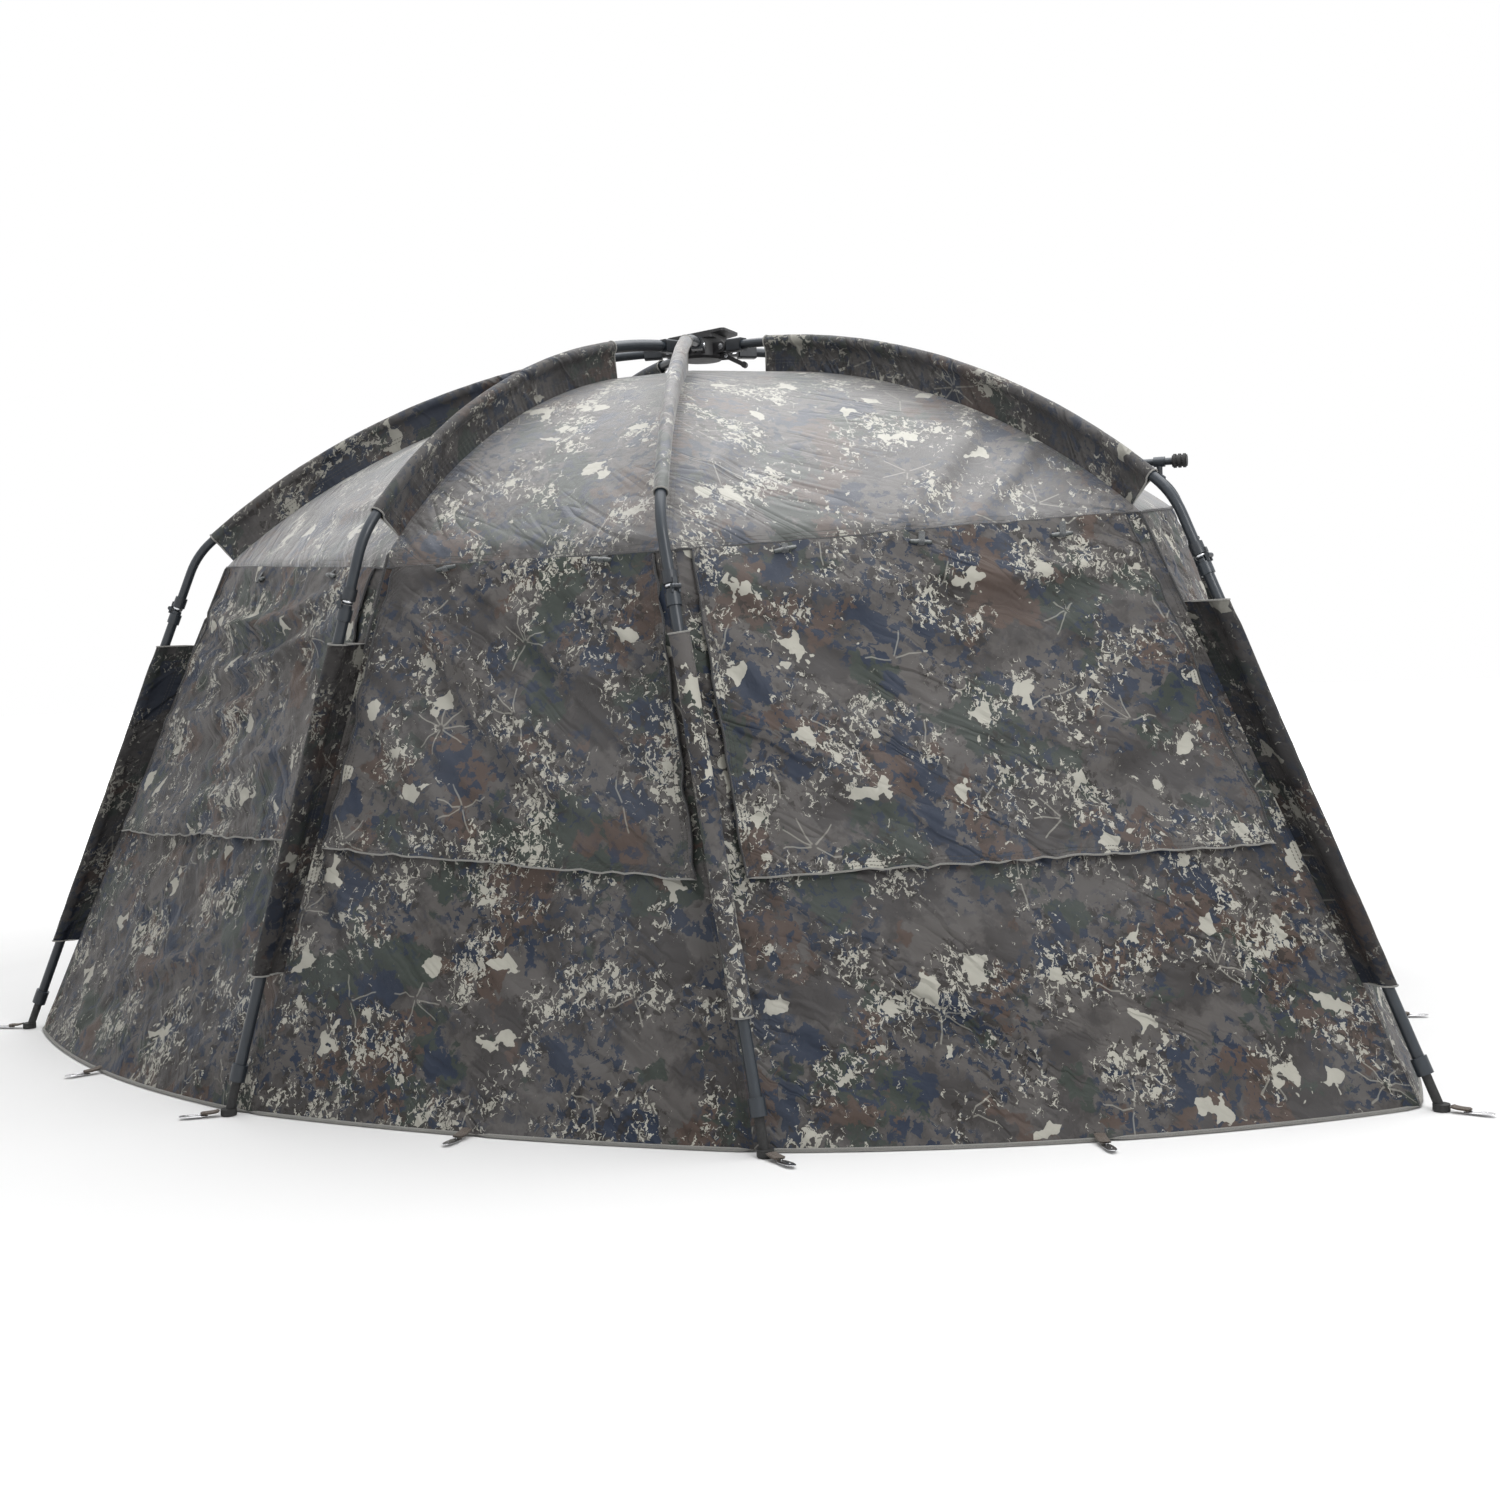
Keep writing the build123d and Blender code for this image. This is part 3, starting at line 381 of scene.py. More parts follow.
def tube(shape, path, radius, sides=8, slot=0):
    """A round cord along a path, with a radius or one for each point, and closed ends."""
    ends = np.ones(len(path))
    ends[0] = ends[-1] = 0.05
    profile = ring(sides)[None] * (radius * ends)[:, None, None]
    shape.grid(sweep(path, path_axes(path), profile), slot=slot, wrap=True, flip=True)


# ---------------- materials

class Graph:
    """Short calls for building one material's nodes."""

    def __init__(self, name, **sockets):
        self.material = bpy.data.materials.new(name)
        self.material.use_nodes = True
        self.tree = self.material.node_tree
        self.tree.nodes.clear()
        self.shader = self.node("ShaderNodeBsdfPrincipled")
        for socket, value in sockets.items():
            self.shader.inputs[socket.replace("_", " ").title().replace("Ior", "IOR")].default_value = value
        out = self.node("ShaderNodeOutputMaterial")
        self.tree.links.new(self.shader.outputs[0], out.inputs[0])

    def node(self, kind, **settings):
        made = self.tree.nodes.new(kind)
        for key, value in settings.items():
            setattr(made, key, value)
        return made

    def put(self, socket, value):
        if isinstance(value, bpy.types.NodeSocket):
            self.tree.links.new(value, socket)
        else:
            socket.default_value = value

    def set(self, socket, value):
        self.put(self.shader.inputs[socket], value)

    def math(self, operation, *values):
        made = self.node("ShaderNodeMath", operation=operation)
        for socket, value in zip(made.inputs, values):
            self.put(socket, value)
        return made.outputs[0]

    def vector(self, operation, *values):
        made = self.node("ShaderNodeVectorMath", operation=operation)
        for socket, value in zip(made.inputs, values):
            self.put(socket, value)
        return made.outputs["Value" if operation == "LENGTH" else "Vector"]

    def scaled(self, vector, amount):
        made = self.node("ShaderNodeVectorMath", operation="SCALE")
        self.put(made.inputs[0], vector)
        self.put(made.inputs["Scale"], amount)
        return made.outputs[0]

    def times(self, a, b):
        return self.math("MULTIPLY", a, b)

    def plus(self, a, b):
        return self.math("ADD", a, b)

    def apart(self, a, b):
        return self.math("ABSOLUTE", self.math("SUBTRACT", a, b))

    def moved(self, vector, x, y):
        return self.vector("ADD", vector, (x, y, 0.0))

    def uv(self, name):
        return self.node("ShaderNodeUVMap", uv_map=name).outputs[0]

    def split(self, vector):
        made = self.node("ShaderNodeSeparateXYZ")
        self.put(made.inputs[0], vector)
        return made.outputs[0], made.outputs[1], made.outputs[2]

    def joined(self, x, y, z=0.0):
        made = self.node("ShaderNodeCombineXYZ")
        for socket, value in zip(made.inputs, (x, y, z)):
            self.put(socket, value)
        return made.outputs[0]

    def noise(self, vector, scale, detail=2.0, roughness=0.5, distortion=0.0, colour=False, flat=True):
        made = self.node("ShaderNodeTexNoise", noise_dimensions="2D" if flat else "3D")
        self.put(made.inputs["Vector"], vector)
        for socket, value in zip(("Scale", "Detail", "Roughness", "Distortion"),
                                 (scale, detail, roughness, distortion)):
            made.inputs[socket].default_value = value
        return made.outputs[1 if colour else 0]

    def mix(self, factor, a, b):
        made = self.node("ShaderNodeMix", data_type="RGBA")
        for index, value in ((0, factor), (6, a), (7, b)):
            self.put(made.inputs[index], value if not isinstance(value, tuple) else (*value, 1.0)[:4])
        return made.outputs[2]

    def ramp(self, value, low, high, start=0.0, end=1.0):
        made = self.node("ShaderNodeMapRange")
        for socket, v in zip(made.inputs, (value, low, high, start, end)):
            self.put(socket, v)
        return made.outputs[0]

    def bump(self, height, distance, strength=1.0, normal=None):
        made = self.node("ShaderNodeBump")
        made.inputs["Strength"].default_value = strength
        made.inputs["Distance"].default_value = distance
        self.put(made.inputs["Height"], height)
        if normal is not None:
            self.put(made.inputs["Normal"], normal)
        return made.outputs[0]


GREY = (0.100, 0.093, 0.089)
DARK_GREY = (0.052, 0.048, 0.047)
GREEN = (0.042, 0.051, 0.044)
BROWN = (0.082, 0.059, 0.049)
NAVY = (0.024, 0.033, 0.055)
UMBER = (0.028, 0.024, 0.022)
STONE = (0.470, 0.458, 0.400)
DUST_AND_PAINTED_LIGHT = (0.56, 0.57, 0.60)
SHADOW = (0.004, 0.004, 0.005)
THREAD = (0.045, 0.043, 0.040)
RAGGED_EDGE = 0.022  # how far a fine noise moves the edges of the printed patches
LEAF_POINT = 0.80  # power of the star shape that a printed leaf is cut from
TURN = 6.283
STITCH_PITCH = 0.0065
STITCH_ROWS = (0.007, 0.014)  # distances from a seam
WEAVE = 5200.0  # radians of weave per metre
HERRINGBONE = 0.006


def camouflage(name, shift, bleach=0.0, deep=0.0, **finish):
    """Printed camouflage: soft grey ground, green, brown and navy patches, leaf litter, leaves and twigs.

    The pale dust mottling is always mixed in; the third argument raises it evenly as painted light, and deep darkens
    the whole print towards black as painted shade.
    """
    g = Graph(name, **finish)
    uv = g.uv("print")
    place = g.moved(uv, *shift)
    ragged = g.vector("SUBTRACT", g.noise(place, 60.0, 3.0, 0.6, colour=True), (0.5, 0.5, 0.5))
    rough_place = g.vector("ADD", place, g.scaled(ragged, RAGGED_EDGE))

    def patch(offset, scale, level, detail=5.0, roughness=0.55, soft=0.006):
        value = g.noise(g.moved(rough_place, *offset), scale, detail, roughness)
        return g.ramp(value, level - soft, level + soft)

    def stamps(scale, offset):
        """Random places: distance and angle about the nearest, turned at random, and two random numbers."""
        cell = g.node("ShaderNodeTexVoronoi", voronoi_dimensions="2D")
        moved = g.moved(place, *offset)
        g.put(cell.inputs["Vector"], moved)
        cell.inputs["Scale"].default_value = scale
        local = g.vector("SUBTRACT", moved, cell.outputs["Position"])
        x, y, _ = g.split(local)
        r, s, t = g.split(cell.outputs["Color"])
        return g.vector("LENGTH", local), g.plus(g.math("ARCTAN2", y, x), g.times(r, TURN)), s, t

    # ground, large patches and a fine navy litter
    colour = g.mix(g.ramp(g.noise(rough_place, 7.0, 5.0, 0.62), 0.44, 0.54), DARK_GREY, GREY)
    colour = g.mix(patch((3.1, 7.7), 5.2, 0.570, 6.0, 0.6, 0.007), colour, GREEN)
    colour = g.mix(patch((9.3, 1.2), 5.6, 0.588, 6.0, 0.6, 0.006), colour, BROWN)
    colour = g.mix(patch((5.5, 4.1), 8.0, 0.628, 4.0, 0.55, 0.005), colour, NAVY)
    sparse = g.ramp(g.noise(g.moved(place, 6.0, 2.0), 6.0, 2.0), 0.42, 0.52)
    colour = g.mix(g.times(patch((2.2, 8.8), 52.0, 0.560, 3.0, 0.6), sparse), colour, NAVY)

    # pale litter and slabs, both in clusters
    cluster = g.noise(g.moved(place, 1.7, 5.9), 7.5, 2.5, 0.55)
    grain = g.noise(g.vector("MULTIPLY", rough_place, (1.0, 0.62, 1.0)), 120.0, 2.5, 0.62, 0.8)
    litter = g.ramp(g.plus(grain, g.ramp(cluster, 0.34, 0.70, -0.22, 0.085)), 0.590, 0.600)
    slabs = g.noise(g.moved(rough_place, 8.4, 3.3), 24.0, 3.0, 0.55)
    slabs = g.ramp(g.plus(slabs, g.ramp(cluster, 0.45, 0.70, -0.12, 0.030)), 0.660, 0.668)
    light = g.math("MAXIMUM", litter, slabs)

    # ragged four-pointed leaves
    distance, angle, chance, size = stamps(7.5, (4.4, 2.6))
    jitter = g.math("SUBTRACT", g.noise(place, 34.0, 2.5), 0.5)
    across = g.math("ABSOLUTE", g.times(distance, g.math("COSINE", angle)))
    along = g.math("ABSOLUTE", g.times(distance, g.math("SINE", angle)))
    reach = g.ramp(size, 0.0, 1.0, 0.020, 0.038)
    star = g.plus(g.math("POWER", g.math("DIVIDE", across, reach), LEAF_POINT),
                  g.math("POWER", g.math("DIVIDE", along, g.times(reach, 0.62)), LEAF_POINT))
    leaf = g.ramp(g.plus(star, g.times(jitter, 3.4)), 1.03, 0.97)
    light = g.math("MAXIMUM", light, g.times(leaf, g.ramp(chance, 0.62, 0.63)))

    # twigs: a few thin rays about a point
    distance, angle, chance, size = stamps(5.6, (7.1, 0.8))
    rays = g.math("ROUND", g.ramp(size, 0.0, 1.0, 0.6, 5.4))
    turned = g.times(angle, rays)
    dice = g.node("ShaderNodeTexWhiteNoise", noise_dimensions="2D")
    g.put(dice.inputs["Vector"], g.joined(g.math("ROUND", g.math("DIVIDE", turned, math.pi)), chance))
    twig = g.times(g.math("ABSOLUTE", g.math("SINE", turned)), distance)
    twig = g.ramp(g.math("DIVIDE", twig, rays), 0.0017, 0.0009)
    for limit in (g.ramp(distance, 0.052, 0.050), g.ramp(distance, 0.003, 0.006),
                  g.ramp(dice.outputs[0], 0.52, 0.53), g.ramp(chance, 0.45, 0.46), 0.45):
        twig = g.times(twig, limit)

    shade = g.ramp(g.noise(g.moved(rough_place, 0.3, 6.6), 52.0, 3.0, 0.6), 0.56, 0.58)
    shade = g.times(shade, g.ramp(cluster, 0.44, 0.52))
    colour = g.mix(g.times(shade, 0.8), colour, UMBER)
    stone = g.mix(g.noise(place, 30.0, 3.0), tuple(c * 0.86 for c in STONE), STONE)
    colour = g.mix(g.math("MAXIMUM", light, twig), colour, stone)
    # pale dust mottling, raised evenly by the third argument as painted light
    colour = g.mix(g.ramp(g.noise(place, 3.1, 6.0, 0.6), 0.40, 0.75, bleach, bleach + 0.06), colour, DUST_AND_PAINTED_LIGHT)
    # painted shade: the whole print darkened towards black
    if deep:
        colour = g.mix(deep, colour, SHADOW)

    edge, run, _ = g.split(g.uv("trim"))
    dash = g.math("LESS_THAN", g.math("FRACT", g.math("DIVIDE", run, STITCH_PITCH)), 0.66)
    rows = [g.ramp(g.apart(edge, at), 0.0011, 0.0006) for at in STITCH_ROWS]
    stitches = g.times(g.math("MAXIMUM", *rows), dash)
    g.set("Base Color", g.mix(g.times(stitches, 0.75), colour, THREAD))

    x, y, _ = g.split(uv)
    weave = g.times(*(g.math("SINE", g.times(side, WEAVE)) for side in (x, y)))
    normal = g.bump(weave, 0.00022, 0.45)
    crease = g.apart(g.noise(place, 13.0, 4.0, 0.55, 0.4), 0.5)
    normal = g.bump(g.ramp(crease, 0.0, 0.09), 0.0012, 0.5, normal)
    normal = g.bump(g.noise(place, 26.0, 4.0, 0.6), 0.0030, 0.55, normal)
    slanted = g.joined(g.times(g.plus(g.times(x, 0.80), g.times(y, -0.60)), 0.22),
                       g.plus(g.times(x, 0.60), g.times(y, 0.80)))
    drag = g.ramp(g.apart(g.noise(slanted, 17.0, 2.0, 0.5, 0.6), 0.5), 0.0, 0.16)
    calm = g.ramp(g.noise(g.moved(place, 4.0, 9.0), 2.6, 2.0), 0.40, 0.60)
    normal = g.bump(g.times(drag, calm), 0.0065, 0.75, normal)
    pucker = g.times(g.math("SINE", g.times(run, 560.0)), g.ramp(edge, 0.004, 0.030, 1.0, 0.0))
    sewn = g.plus(g.times(stitches, -1.0), g.times(pucker, 0.35))
    g.set("Normal", g.bump(sewn, 0.0012, 0.8, normal))
    g.set("Roughness", g.ramp(g.noise(place, 7.0, 5.0, 0.6), 0.3, 0.7, 0.50, 0.66))
    return g.material


def hard(name, colour, light_colour, roughness, scale, relief, metallic=0.0, grain=(1.0, 1.0, 1.0),
         scratches=0.0, faded=None):
    """A moulded, painted or polished surface with mottling, fine relief and rubbed marks; a top colour, when given,
    is painted onto its upward-facing side as painted light, leaving the underside darker as painted shade.
    """
    g = Graph(name, metallic=metallic)
    where = g.node("ShaderNodeTexCoord").outputs["Object"]
    stretched = g.vector("MULTIPLY", where, grain)
    mottled = g.noise(stretched, scale, 5.0, 0.6, flat=False)
    tone = g.mix(g.ramp(mottled, 0.3, 0.7), colour, light_colour)
    # painted light: upward-facing sides mixed toward the top colour, a painted highlight on top and painted shade
    # underneath
    if faded:
        _, _, upward = g.split(g.node("ShaderNodeTexCoord").outputs["Normal"])
        tone = g.mix(g.ramp(g.plus(upward, g.times(mottled, 0.2)), 0.0, 1.1), tone, faded)
    if scratches:
        rubbed = g.noise(g.vector("MULTIPLY", where, (9.0, 9.0, 1.0)), 33.0, 3.0, 0.7, flat=False)
        rubbed = g.ramp(rubbed, 0.66, 0.72, 0.0, scratches)
        tone = g.mix(rubbed, tone, tuple(min(1.0, c * 2.5 + 0.04) for c in light_colour))
    g.set("Base Color", tone)
    g.set("Roughness", g.ramp(g.noise(where, scale * 0.4, 4.0, flat=False), 0.3, 0.7,
                              roughness - 0.05, roughness + 0.05))
    g.set("Normal", g.bump(g.noise(stretched, scale * 4, 3.0, flat=False), relief, 0.6))
    return g.material


def webbing(name, colour, light_colour):
    """Woven tape: fine ribs across and a herringbone of threads."""
    g = Graph(name, sheen_weight=0.3, sheen_roughness=0.5)
    uv = g.uv("print")
    x, y, _ = g.split(uv)
    zig = g.apart(g.math("FRACT", g.math("DIVIDE", x, HERRINGBONE)), 0.5)
    threads = g.math("SINE", g.times(g.plus(y, g.times(zig, HERRINGBONE)), 3100.0))
    g.set("Base Color", g.mix(g.ramp(g.plus(threads, g.noise(uv, 300.0, 3.0)), -0.6, 1.6), colour, light_colour))
    g.set("Roughness", g.ramp(g.noise(uv, 90.0, 3.0), 0.3, 0.7, 0.66, 0.84))
    g.set("Normal", g.bump(threads, 0.0005, 0.8))
    return g.material


def finish(roughness, specular, sheen, sheen_roughness=0.45, **more):
    return dict(roughness=roughness, specular_ior_level=specular, sheen_weight=sheen,
                sheen_roughness=sheen_roughness, **more)


# roof cloth: its small even lift toward pale dust is painted light on the roof
roof_cloth = camouflage("camouflage_roof", (0.40, 0.90), 0.015,
                        **finish(0.5, 0.6, 0.48, 0.4, coat_weight=0.42, coat_roughness=0.38))
wall_cloth = camouflage("camouflage_wall", (2.60, 3.70), **finish(0.55, 0.22, 0.06))
flap_cloth = camouflage("camouflage_flap", (5.15, 1.35), **finish(0.5, 0.28, 0.08))
# copies of the print for the sleeves and bows, darkened as painted shade
sleeve_cloth_painted_shade = camouflage("camouflage_sleeve", (7.90, 6.20), deep=0.66, **finish(0.5, 0.15, 0.02))
bow_cloth_painted_shade = camouflage("camouflage_bow", (7.90, 6.20), deep=0.36, **finish(0.5, 0.35, 0.12))
piping_cloth = webbing("dark_binding", (0.012, 0.012, 0.014), (0.045, 0.045, 0.048))
hem_cloth = webbing("rolled_hem", (0.20, 0.195, 0.18), (0.46, 0.45, 0.42))
tape = webbing("brown_webbing", (0.050, 0.036, 0.026), (0.17, 0.125, 0.09))
tab_tape = webbing("dark_webbing", (0.028, 0.032, 0.036), (0.10, 0.11, 0.115))
# the last colour of the tube and of the fittings is painted on their upward sides as painted light
pole_paint = hard("slate_tube", (0.014, 0.018, 0.023), (0.022, 0.028, 0.035), 0.34, 90.0, 0.00012,
                  grain=(1, 1, 0.25), scratches=0.12, faded=(0.050, 0.062, 0.078))
moulding = hard("black_moulding", (0.010, 0.010, 0.011), (0.022, 0.022, 0.024), 0.48, 120.0, 0.0004, scratches=0.10)
fitting_black = hard("satin_fitting", (0.010, 0.012, 0.015), (0.018, 0.021, 0.026), 0.40, 110.0, 0.0002,
                     scratches=0.15, faded=(0.050, 0.060, 0.074))
rubber = hard("black_rubber", (0.012, 0.012, 0.012), (0.030, 0.030, 0.030), 0.70, 150.0, 0.0005)
steel = hard("bright_steel", (0.52, 0.53, 0.55), (0.74, 0.75, 0.77), 0.24, 200.0, 0.00008, metallic=1.0)
peg_steel = hard("plated_steel", (0.42, 0.42, 0.43), (0.66, 0.66, 0.67), 0.22, 120.0, 0.00015, metallic=1.0)
# the toggles' last colour is painted on their upward sides as painted light
toggle_grey = hard("toggle_plastic", (0.030, 0.036, 0.036), (0.060, 0.070, 0.070), 0.26, 150.0, 0.0001,
                   faded=(0.20, 0.21, 0.21))

NODE_FINISHES = {
    "hub_block": moulding, "hub_top_plate": moulding, "hub_pins": steel, "release_lever_pin": steel,
    "release_lever": moulding, "upper_pole": pole_paint, "lower_leg": pole_paint, "pole_fittings": fitting_black,
    "foot": rubber, "ground_pegs": peg_steel, "front_bar": pole_paint, "bar_cap": rubber, "toggles": toggle_grey,
}
for name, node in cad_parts.items():
    for prefix in sorted(NODE_FINISHES, key=len, reverse=True):
        if name.startswith(prefix):
            node.data.materials.clear()
            node.data.materials.append(NODE_FINISHES[prefix])
            break


# ---------------- cloth surfaces

PANELS = [(ORDER[i], ORDER[(i + 1) % 6]) for i in range(6)]
ROOF_ROWS, STRIP_ROWS, WALL_ROWS, COLUMNS = 36, 5, 36, 40
ACROSS = np.linspace(0, 1, COLUMNS + 1)  # shares of a panel's width
ARCH = np.sin(np.pi * ACROSS)


def bulge(table, a, b):
    """How far the middle of the panel between two ribs blows out."""
    return table.get(tuple(sorted((a.kind, b.kind))), 0.0)


def outward(a, b):
    normal = np.cross(b.foot - a.foot, UP)
    normal = unit(normal - UP * normal[2])
    return normal if np.dot(normal, a.foot + b.foot) > 0 else -normal


def panel(a, b, left, right, raised):
    """Cloth stretched between the edges of two ribs; over the doorway each row is raised by its share."""
    points = left[:, None] + (right - left)[:, None] * ACROSS[None, :, None]
    if a.kind == b.kind == "front":
        points = points + FRONT_PEAK * raised[:, None, None] * (4 * ACROSS * (1 - ACROSS))[None, :, None]
    return points


def roof_surface(a, b):
    """Roof between two ribs, from the crown down to the seam."""
    shares = np.linspace(0, 1, ROOF_ROWS + 1)
    swell = shares[:, None] ** 2 * ARCH[None] * bulge(SEAM_BULGES, a, b)
    return panel(a, b, a.skin(shares), b.skin(shares), shares ** 2) + outward(a, b) * swell[..., None]


def wall_surface(a, b):
    """Wall between two ribs, from the seam through the split line down to the hem."""
    share = (a.split_share + b.split_share) / 2
    w = np.concatenate([np.linspace(0, share, STRIP_ROWS + 1), np.linspace(share, 1, WALL_ROWS + 1)[1:]])
    left, right = (rib.seam + (rib.hem - rib.seam) * w[:, None] for rib in (a, b))
    swell = bulge(BULGES, a, b) * w + bulge(SEAM_BULGES, a, b) * (1 - w)
    swell = swell + HEM_FLARE * np.clip((w - FLARE_START) / (1 - FLARE_START), 0, 1) ** 2
    swell = swell[:, None] * ARCH[None] ** WALL_FULLNESS
    return panel(a, b, left, right, np.ones(len(w))) + outward(a, b) * swell[..., None]


HANG_FRAMES = 26
HANGING = {
    "quality": 6, "mass": 0.02, "air_damping": 4.0, "vertex_group_mass": "pins", "shrink_min": -0.010,
    "tension_stiffness": 18.0, "compression_stiffness": 18.0, "shear_stiffness": 8.0, "bending_stiffness": 0.35,
    "tension_damping": 12.0, "compression_damping": 12.0, "shear_damping": 12.0, "bending_damping": 2.0,
}


def settle(grids, pins):
    """Lets cloth grids hang from their pinned edges, and returns where they come to rest."""
    made = []
    for number, (points, pin) in enumerate(zip(grids, pins)):
        rows, columns = points.shape[:2]
        index = np.arange(rows * columns).reshape(rows, columns)
        mesh = bpy.data.meshes.new("hanging")
        mesh.from_pydata(points.reshape(-1, 3).tolist(), [], quads_of(index).tolist())
        cloth_object = linked("hanging_%d" % number, mesh)
        group = cloth_object.vertex_groups.new(name="pins")
        group.add(index[pin].ravel().tolist(), 1.0, "REPLACE")
        modifier = cloth_object.modifiers.new("hang", "CLOTH")
        for key, value in HANGING.items():
            setattr(modifier.settings, key, value)
        modifier.point_cache.frame_start = 1
        modifier.point_cache.frame_end = HANG_FRAMES
        made.append(cloth_object)
    for step in range(1, HANG_FRAMES + 1):
        scene.frame_set(step)
    graph = bpy.context.evaluated_depsgraph_get()
    rested = []
    for cloth_object, points in zip(made, grids):
        mesh = cloth_object.evaluated_get(graph).data
        flat = np.empty(len(mesh.vertices) * 3, np.float32)
        mesh.vertices.foreach_get("co", flat)
        rested.append(flat.reshape(points.shape).astype(float))
    for cloth_object in made:
        bpy.data.objects.remove(cloth_object)
    scene.frame_set(1)
    return rested


def folds(points, normals, lines, seed, ripple):
    """Presses long soft folds into a grid, whose x is measured from its middle and y from its top."""
    size = lengths(points, 1)[:, -1:]
    x = lengths(points, 1) - size / 2
    y = lengths(points, 0)
    depth = noise_field(x + 5, y + 5, seed, 0.22) * ripple
    for x0, y0, x1, y1, height, width, sway in np.array(lines).reshape(-1, 7) / 1000:
        run = math.hypot(x1 - x0, y1 - y0)
        ux, uy = (x1 - x0) / run, (y1 - y0) / run
        t = ((x - x0) * ux + (y - y0) * uy) / run
        d = (x - x0) * -uy + (y - y0) * ux - sway * np.sin(np.pi * np.clip(t, 0, 1))
        wobble = noise_field(x + 9, y + 2, seed + 7, 0.30, 1) * width * 0.6
        q = (d + wobble) / width
        profile = np.exp(-np.abs(q) ** 1.35) - 0.50 * np.exp(-np.abs(q - 1.7) ** 2)
        taper = np.sin(np.pi * np.clip(t, 0, 1)) ** 0.6
        depth = depth + 1.5 * height * profile * taper
    rim = np.minimum(1.0, np.minimum(np.arange(depth.shape[1]), np.arange(depth.shape[1])[::-1]) / 6.0)
    return points + normals * (depth * rim[None])[..., None]


# creases of each panel, in millimetres: from x, y to x, y, then height, width and sideways sway
WALL_FOLDS = {
    ("rear_left", "rear_right"): [
        (-400, 120, -50, 550, 10, 30, 20), (-200, 100, 250, 520, 9, 28, 30), (50, 100, 380, 450, 8, 26, 20),
        (-360, 620, 50, 900, 7, 22, 20), (-200, 600, 220, 970, 6, 20, -20), (-440, 350, -250, 800, 6, 20, 10),
    ],
    ("rear_right", "side_right"): [
        (-420, 30, 50, 100, 10, 26, 50), (-50, 40, 420, 50, 10, 28, 60), (-460, 240, -20, 600, 8, 26, 30),
        (-100, 200, 460, 120, 8, 24, 50), (80, 520, 480, 200, 7, 26, 30), (-400, 660, 50, 980, 6, 22, 20),
        (100, 950, 500, 600, 7, 24, 20),
    ],
    ("side_left", "rear_left"): [
        (-450, 100, 300, 60, 12, 28, 60), (-420, 200, 360, 100, 12, 30, 70), (-450, 360, 200, 200, 10, 28, 50),
        (-400, 620, 340, 360, 9, 30, 30), (-300, 950, 400, 700, 7, 24, 30),
    ],
}
ROOF_FOLDS = {
    ("rear_right", "side_right"): [
        (-50, 920, 340, 600, 7, 28, 20), (100, 950, 440, 720, 7, 24, 20), (-400, 850, -120, 550, 5, 24, 10),
    ],
    ("rear_left", "rear_right"): [
        (-300, 800, 50, 550, 3, 22, 10),
    ],
    ("side_left", "rear_left"): [
        (-250, 800, 300, 700, 5, 26, 20),
    ],
}

FLAP_FOLDS = {
    ("rear_left", "rear_right"): [
        (-260, 50, 240, 400, 8.5, 14, 30), (-200, 120, 200, 480, 7.5, 13, 30),
        (-100, 40, 300, 300, 7.5, 13, 20), (0, 100, 320, 400, 6.5, 12, 20), (-300, 160, 60, 500, 6, 14, 20),
        (80, 50, 340, 220, 6, 11, 10), (-340, 300, -50, 540, 5, 14, 20), (100, 240, 340, 480, 5, 12, 10),
    ],
    ("rear_right", "side_right"): [
        (-360, 60, -120, 240, 6, 14, 20), (-380, 160, -220, 460, 5.5, 14, 20), (-60, 50, 300, 100, 6, 16, 30),
        (120, 80, 400, 340, 5, 15, 20), (-300, 460, 60, 360, 4.5, 16, 20), (50, 480, 420, 400, 4.5, 16, 20),
    ],
    ("side_left", "rear_left"): [
        (-300, 140, 320, 40, 8, 15, 30), (-340, 260, 340, 120, 8.5, 16, 30), (-340, 360, 300, 220, 7.5, 15, 30),
        (-300, 480, 340, 340, 7, 15, 30), (-100, 520, 380, 440, 5.5, 13, 20),
    ],
}

walls = {(a, b): wall_surface(ribs[a], ribs[b]) for a, b in PANELS}
roofs = {(a, b): roof_surface(ribs[a], ribs[b]) for a, b in PANELS}


def settle_walls():
    """Hangs every panel but the doorway's from its edges, starting a little uneven."""
    hung = [pair for pair in PANELS if "front" not in pair[0] or "front" not in pair[1]]
    grids, pins = [], []
    for number, pair in enumerate(hung):
        points = walls[pair]
        x, y = lengths(points, 1), lengths(points, 0)
        start = noise_field(x + 3, y + 3, 40 + number, 0.25) * 0.004
        pin = np.zeros(points.shape[:2], bool)
        pin[0] = pin[-1] = pin[:, 0] = pin[:, -1] = True
        start[pin] = 0.0
        grids.append(points + surface_normals(points) * start[..., None])
        pins.append(pin)
    for pair, rested in zip(hung, settle(grids, pins)):
        walls[pair] = rested


settle_walls()

for number, pair in enumerate(PANELS):
    for surfaces, creases, seed, ripple in ((walls, WALL_FOLDS, 100, 0.0015), (roofs, ROOF_FOLDS, 200, 0.001)):
        points = finer(surfaces[pair])
        surfaces[pair] = folds(points, surface_normals(points), creases.get(pair, []), seed + number, ripple)


def lower_seam(roof, wall, drop):
    """Moves the line between a roof panel and its wall down their common surface by a length per column."""
    low = SPLIT + 1
    roof, wall = roof.copy(), wall.copy()
    for column in range(roof.shape[1]):
        line = np.concatenate([roof[:, column], wall[1:low, column]])
        along = lengths(line[:, None], 0)[:, 0]
        seam = along[len(roof) - 1] + drop[column]
        for axis in range(3):
            roof[:, column, axis] = np.interp(np.linspace(0, seam, len(roof)), along, line[:, axis])
            wall[:low, column, axis] = np.interp(np.linspace(seam, along[-1], low), along, line[:, axis])
    return roof, wall


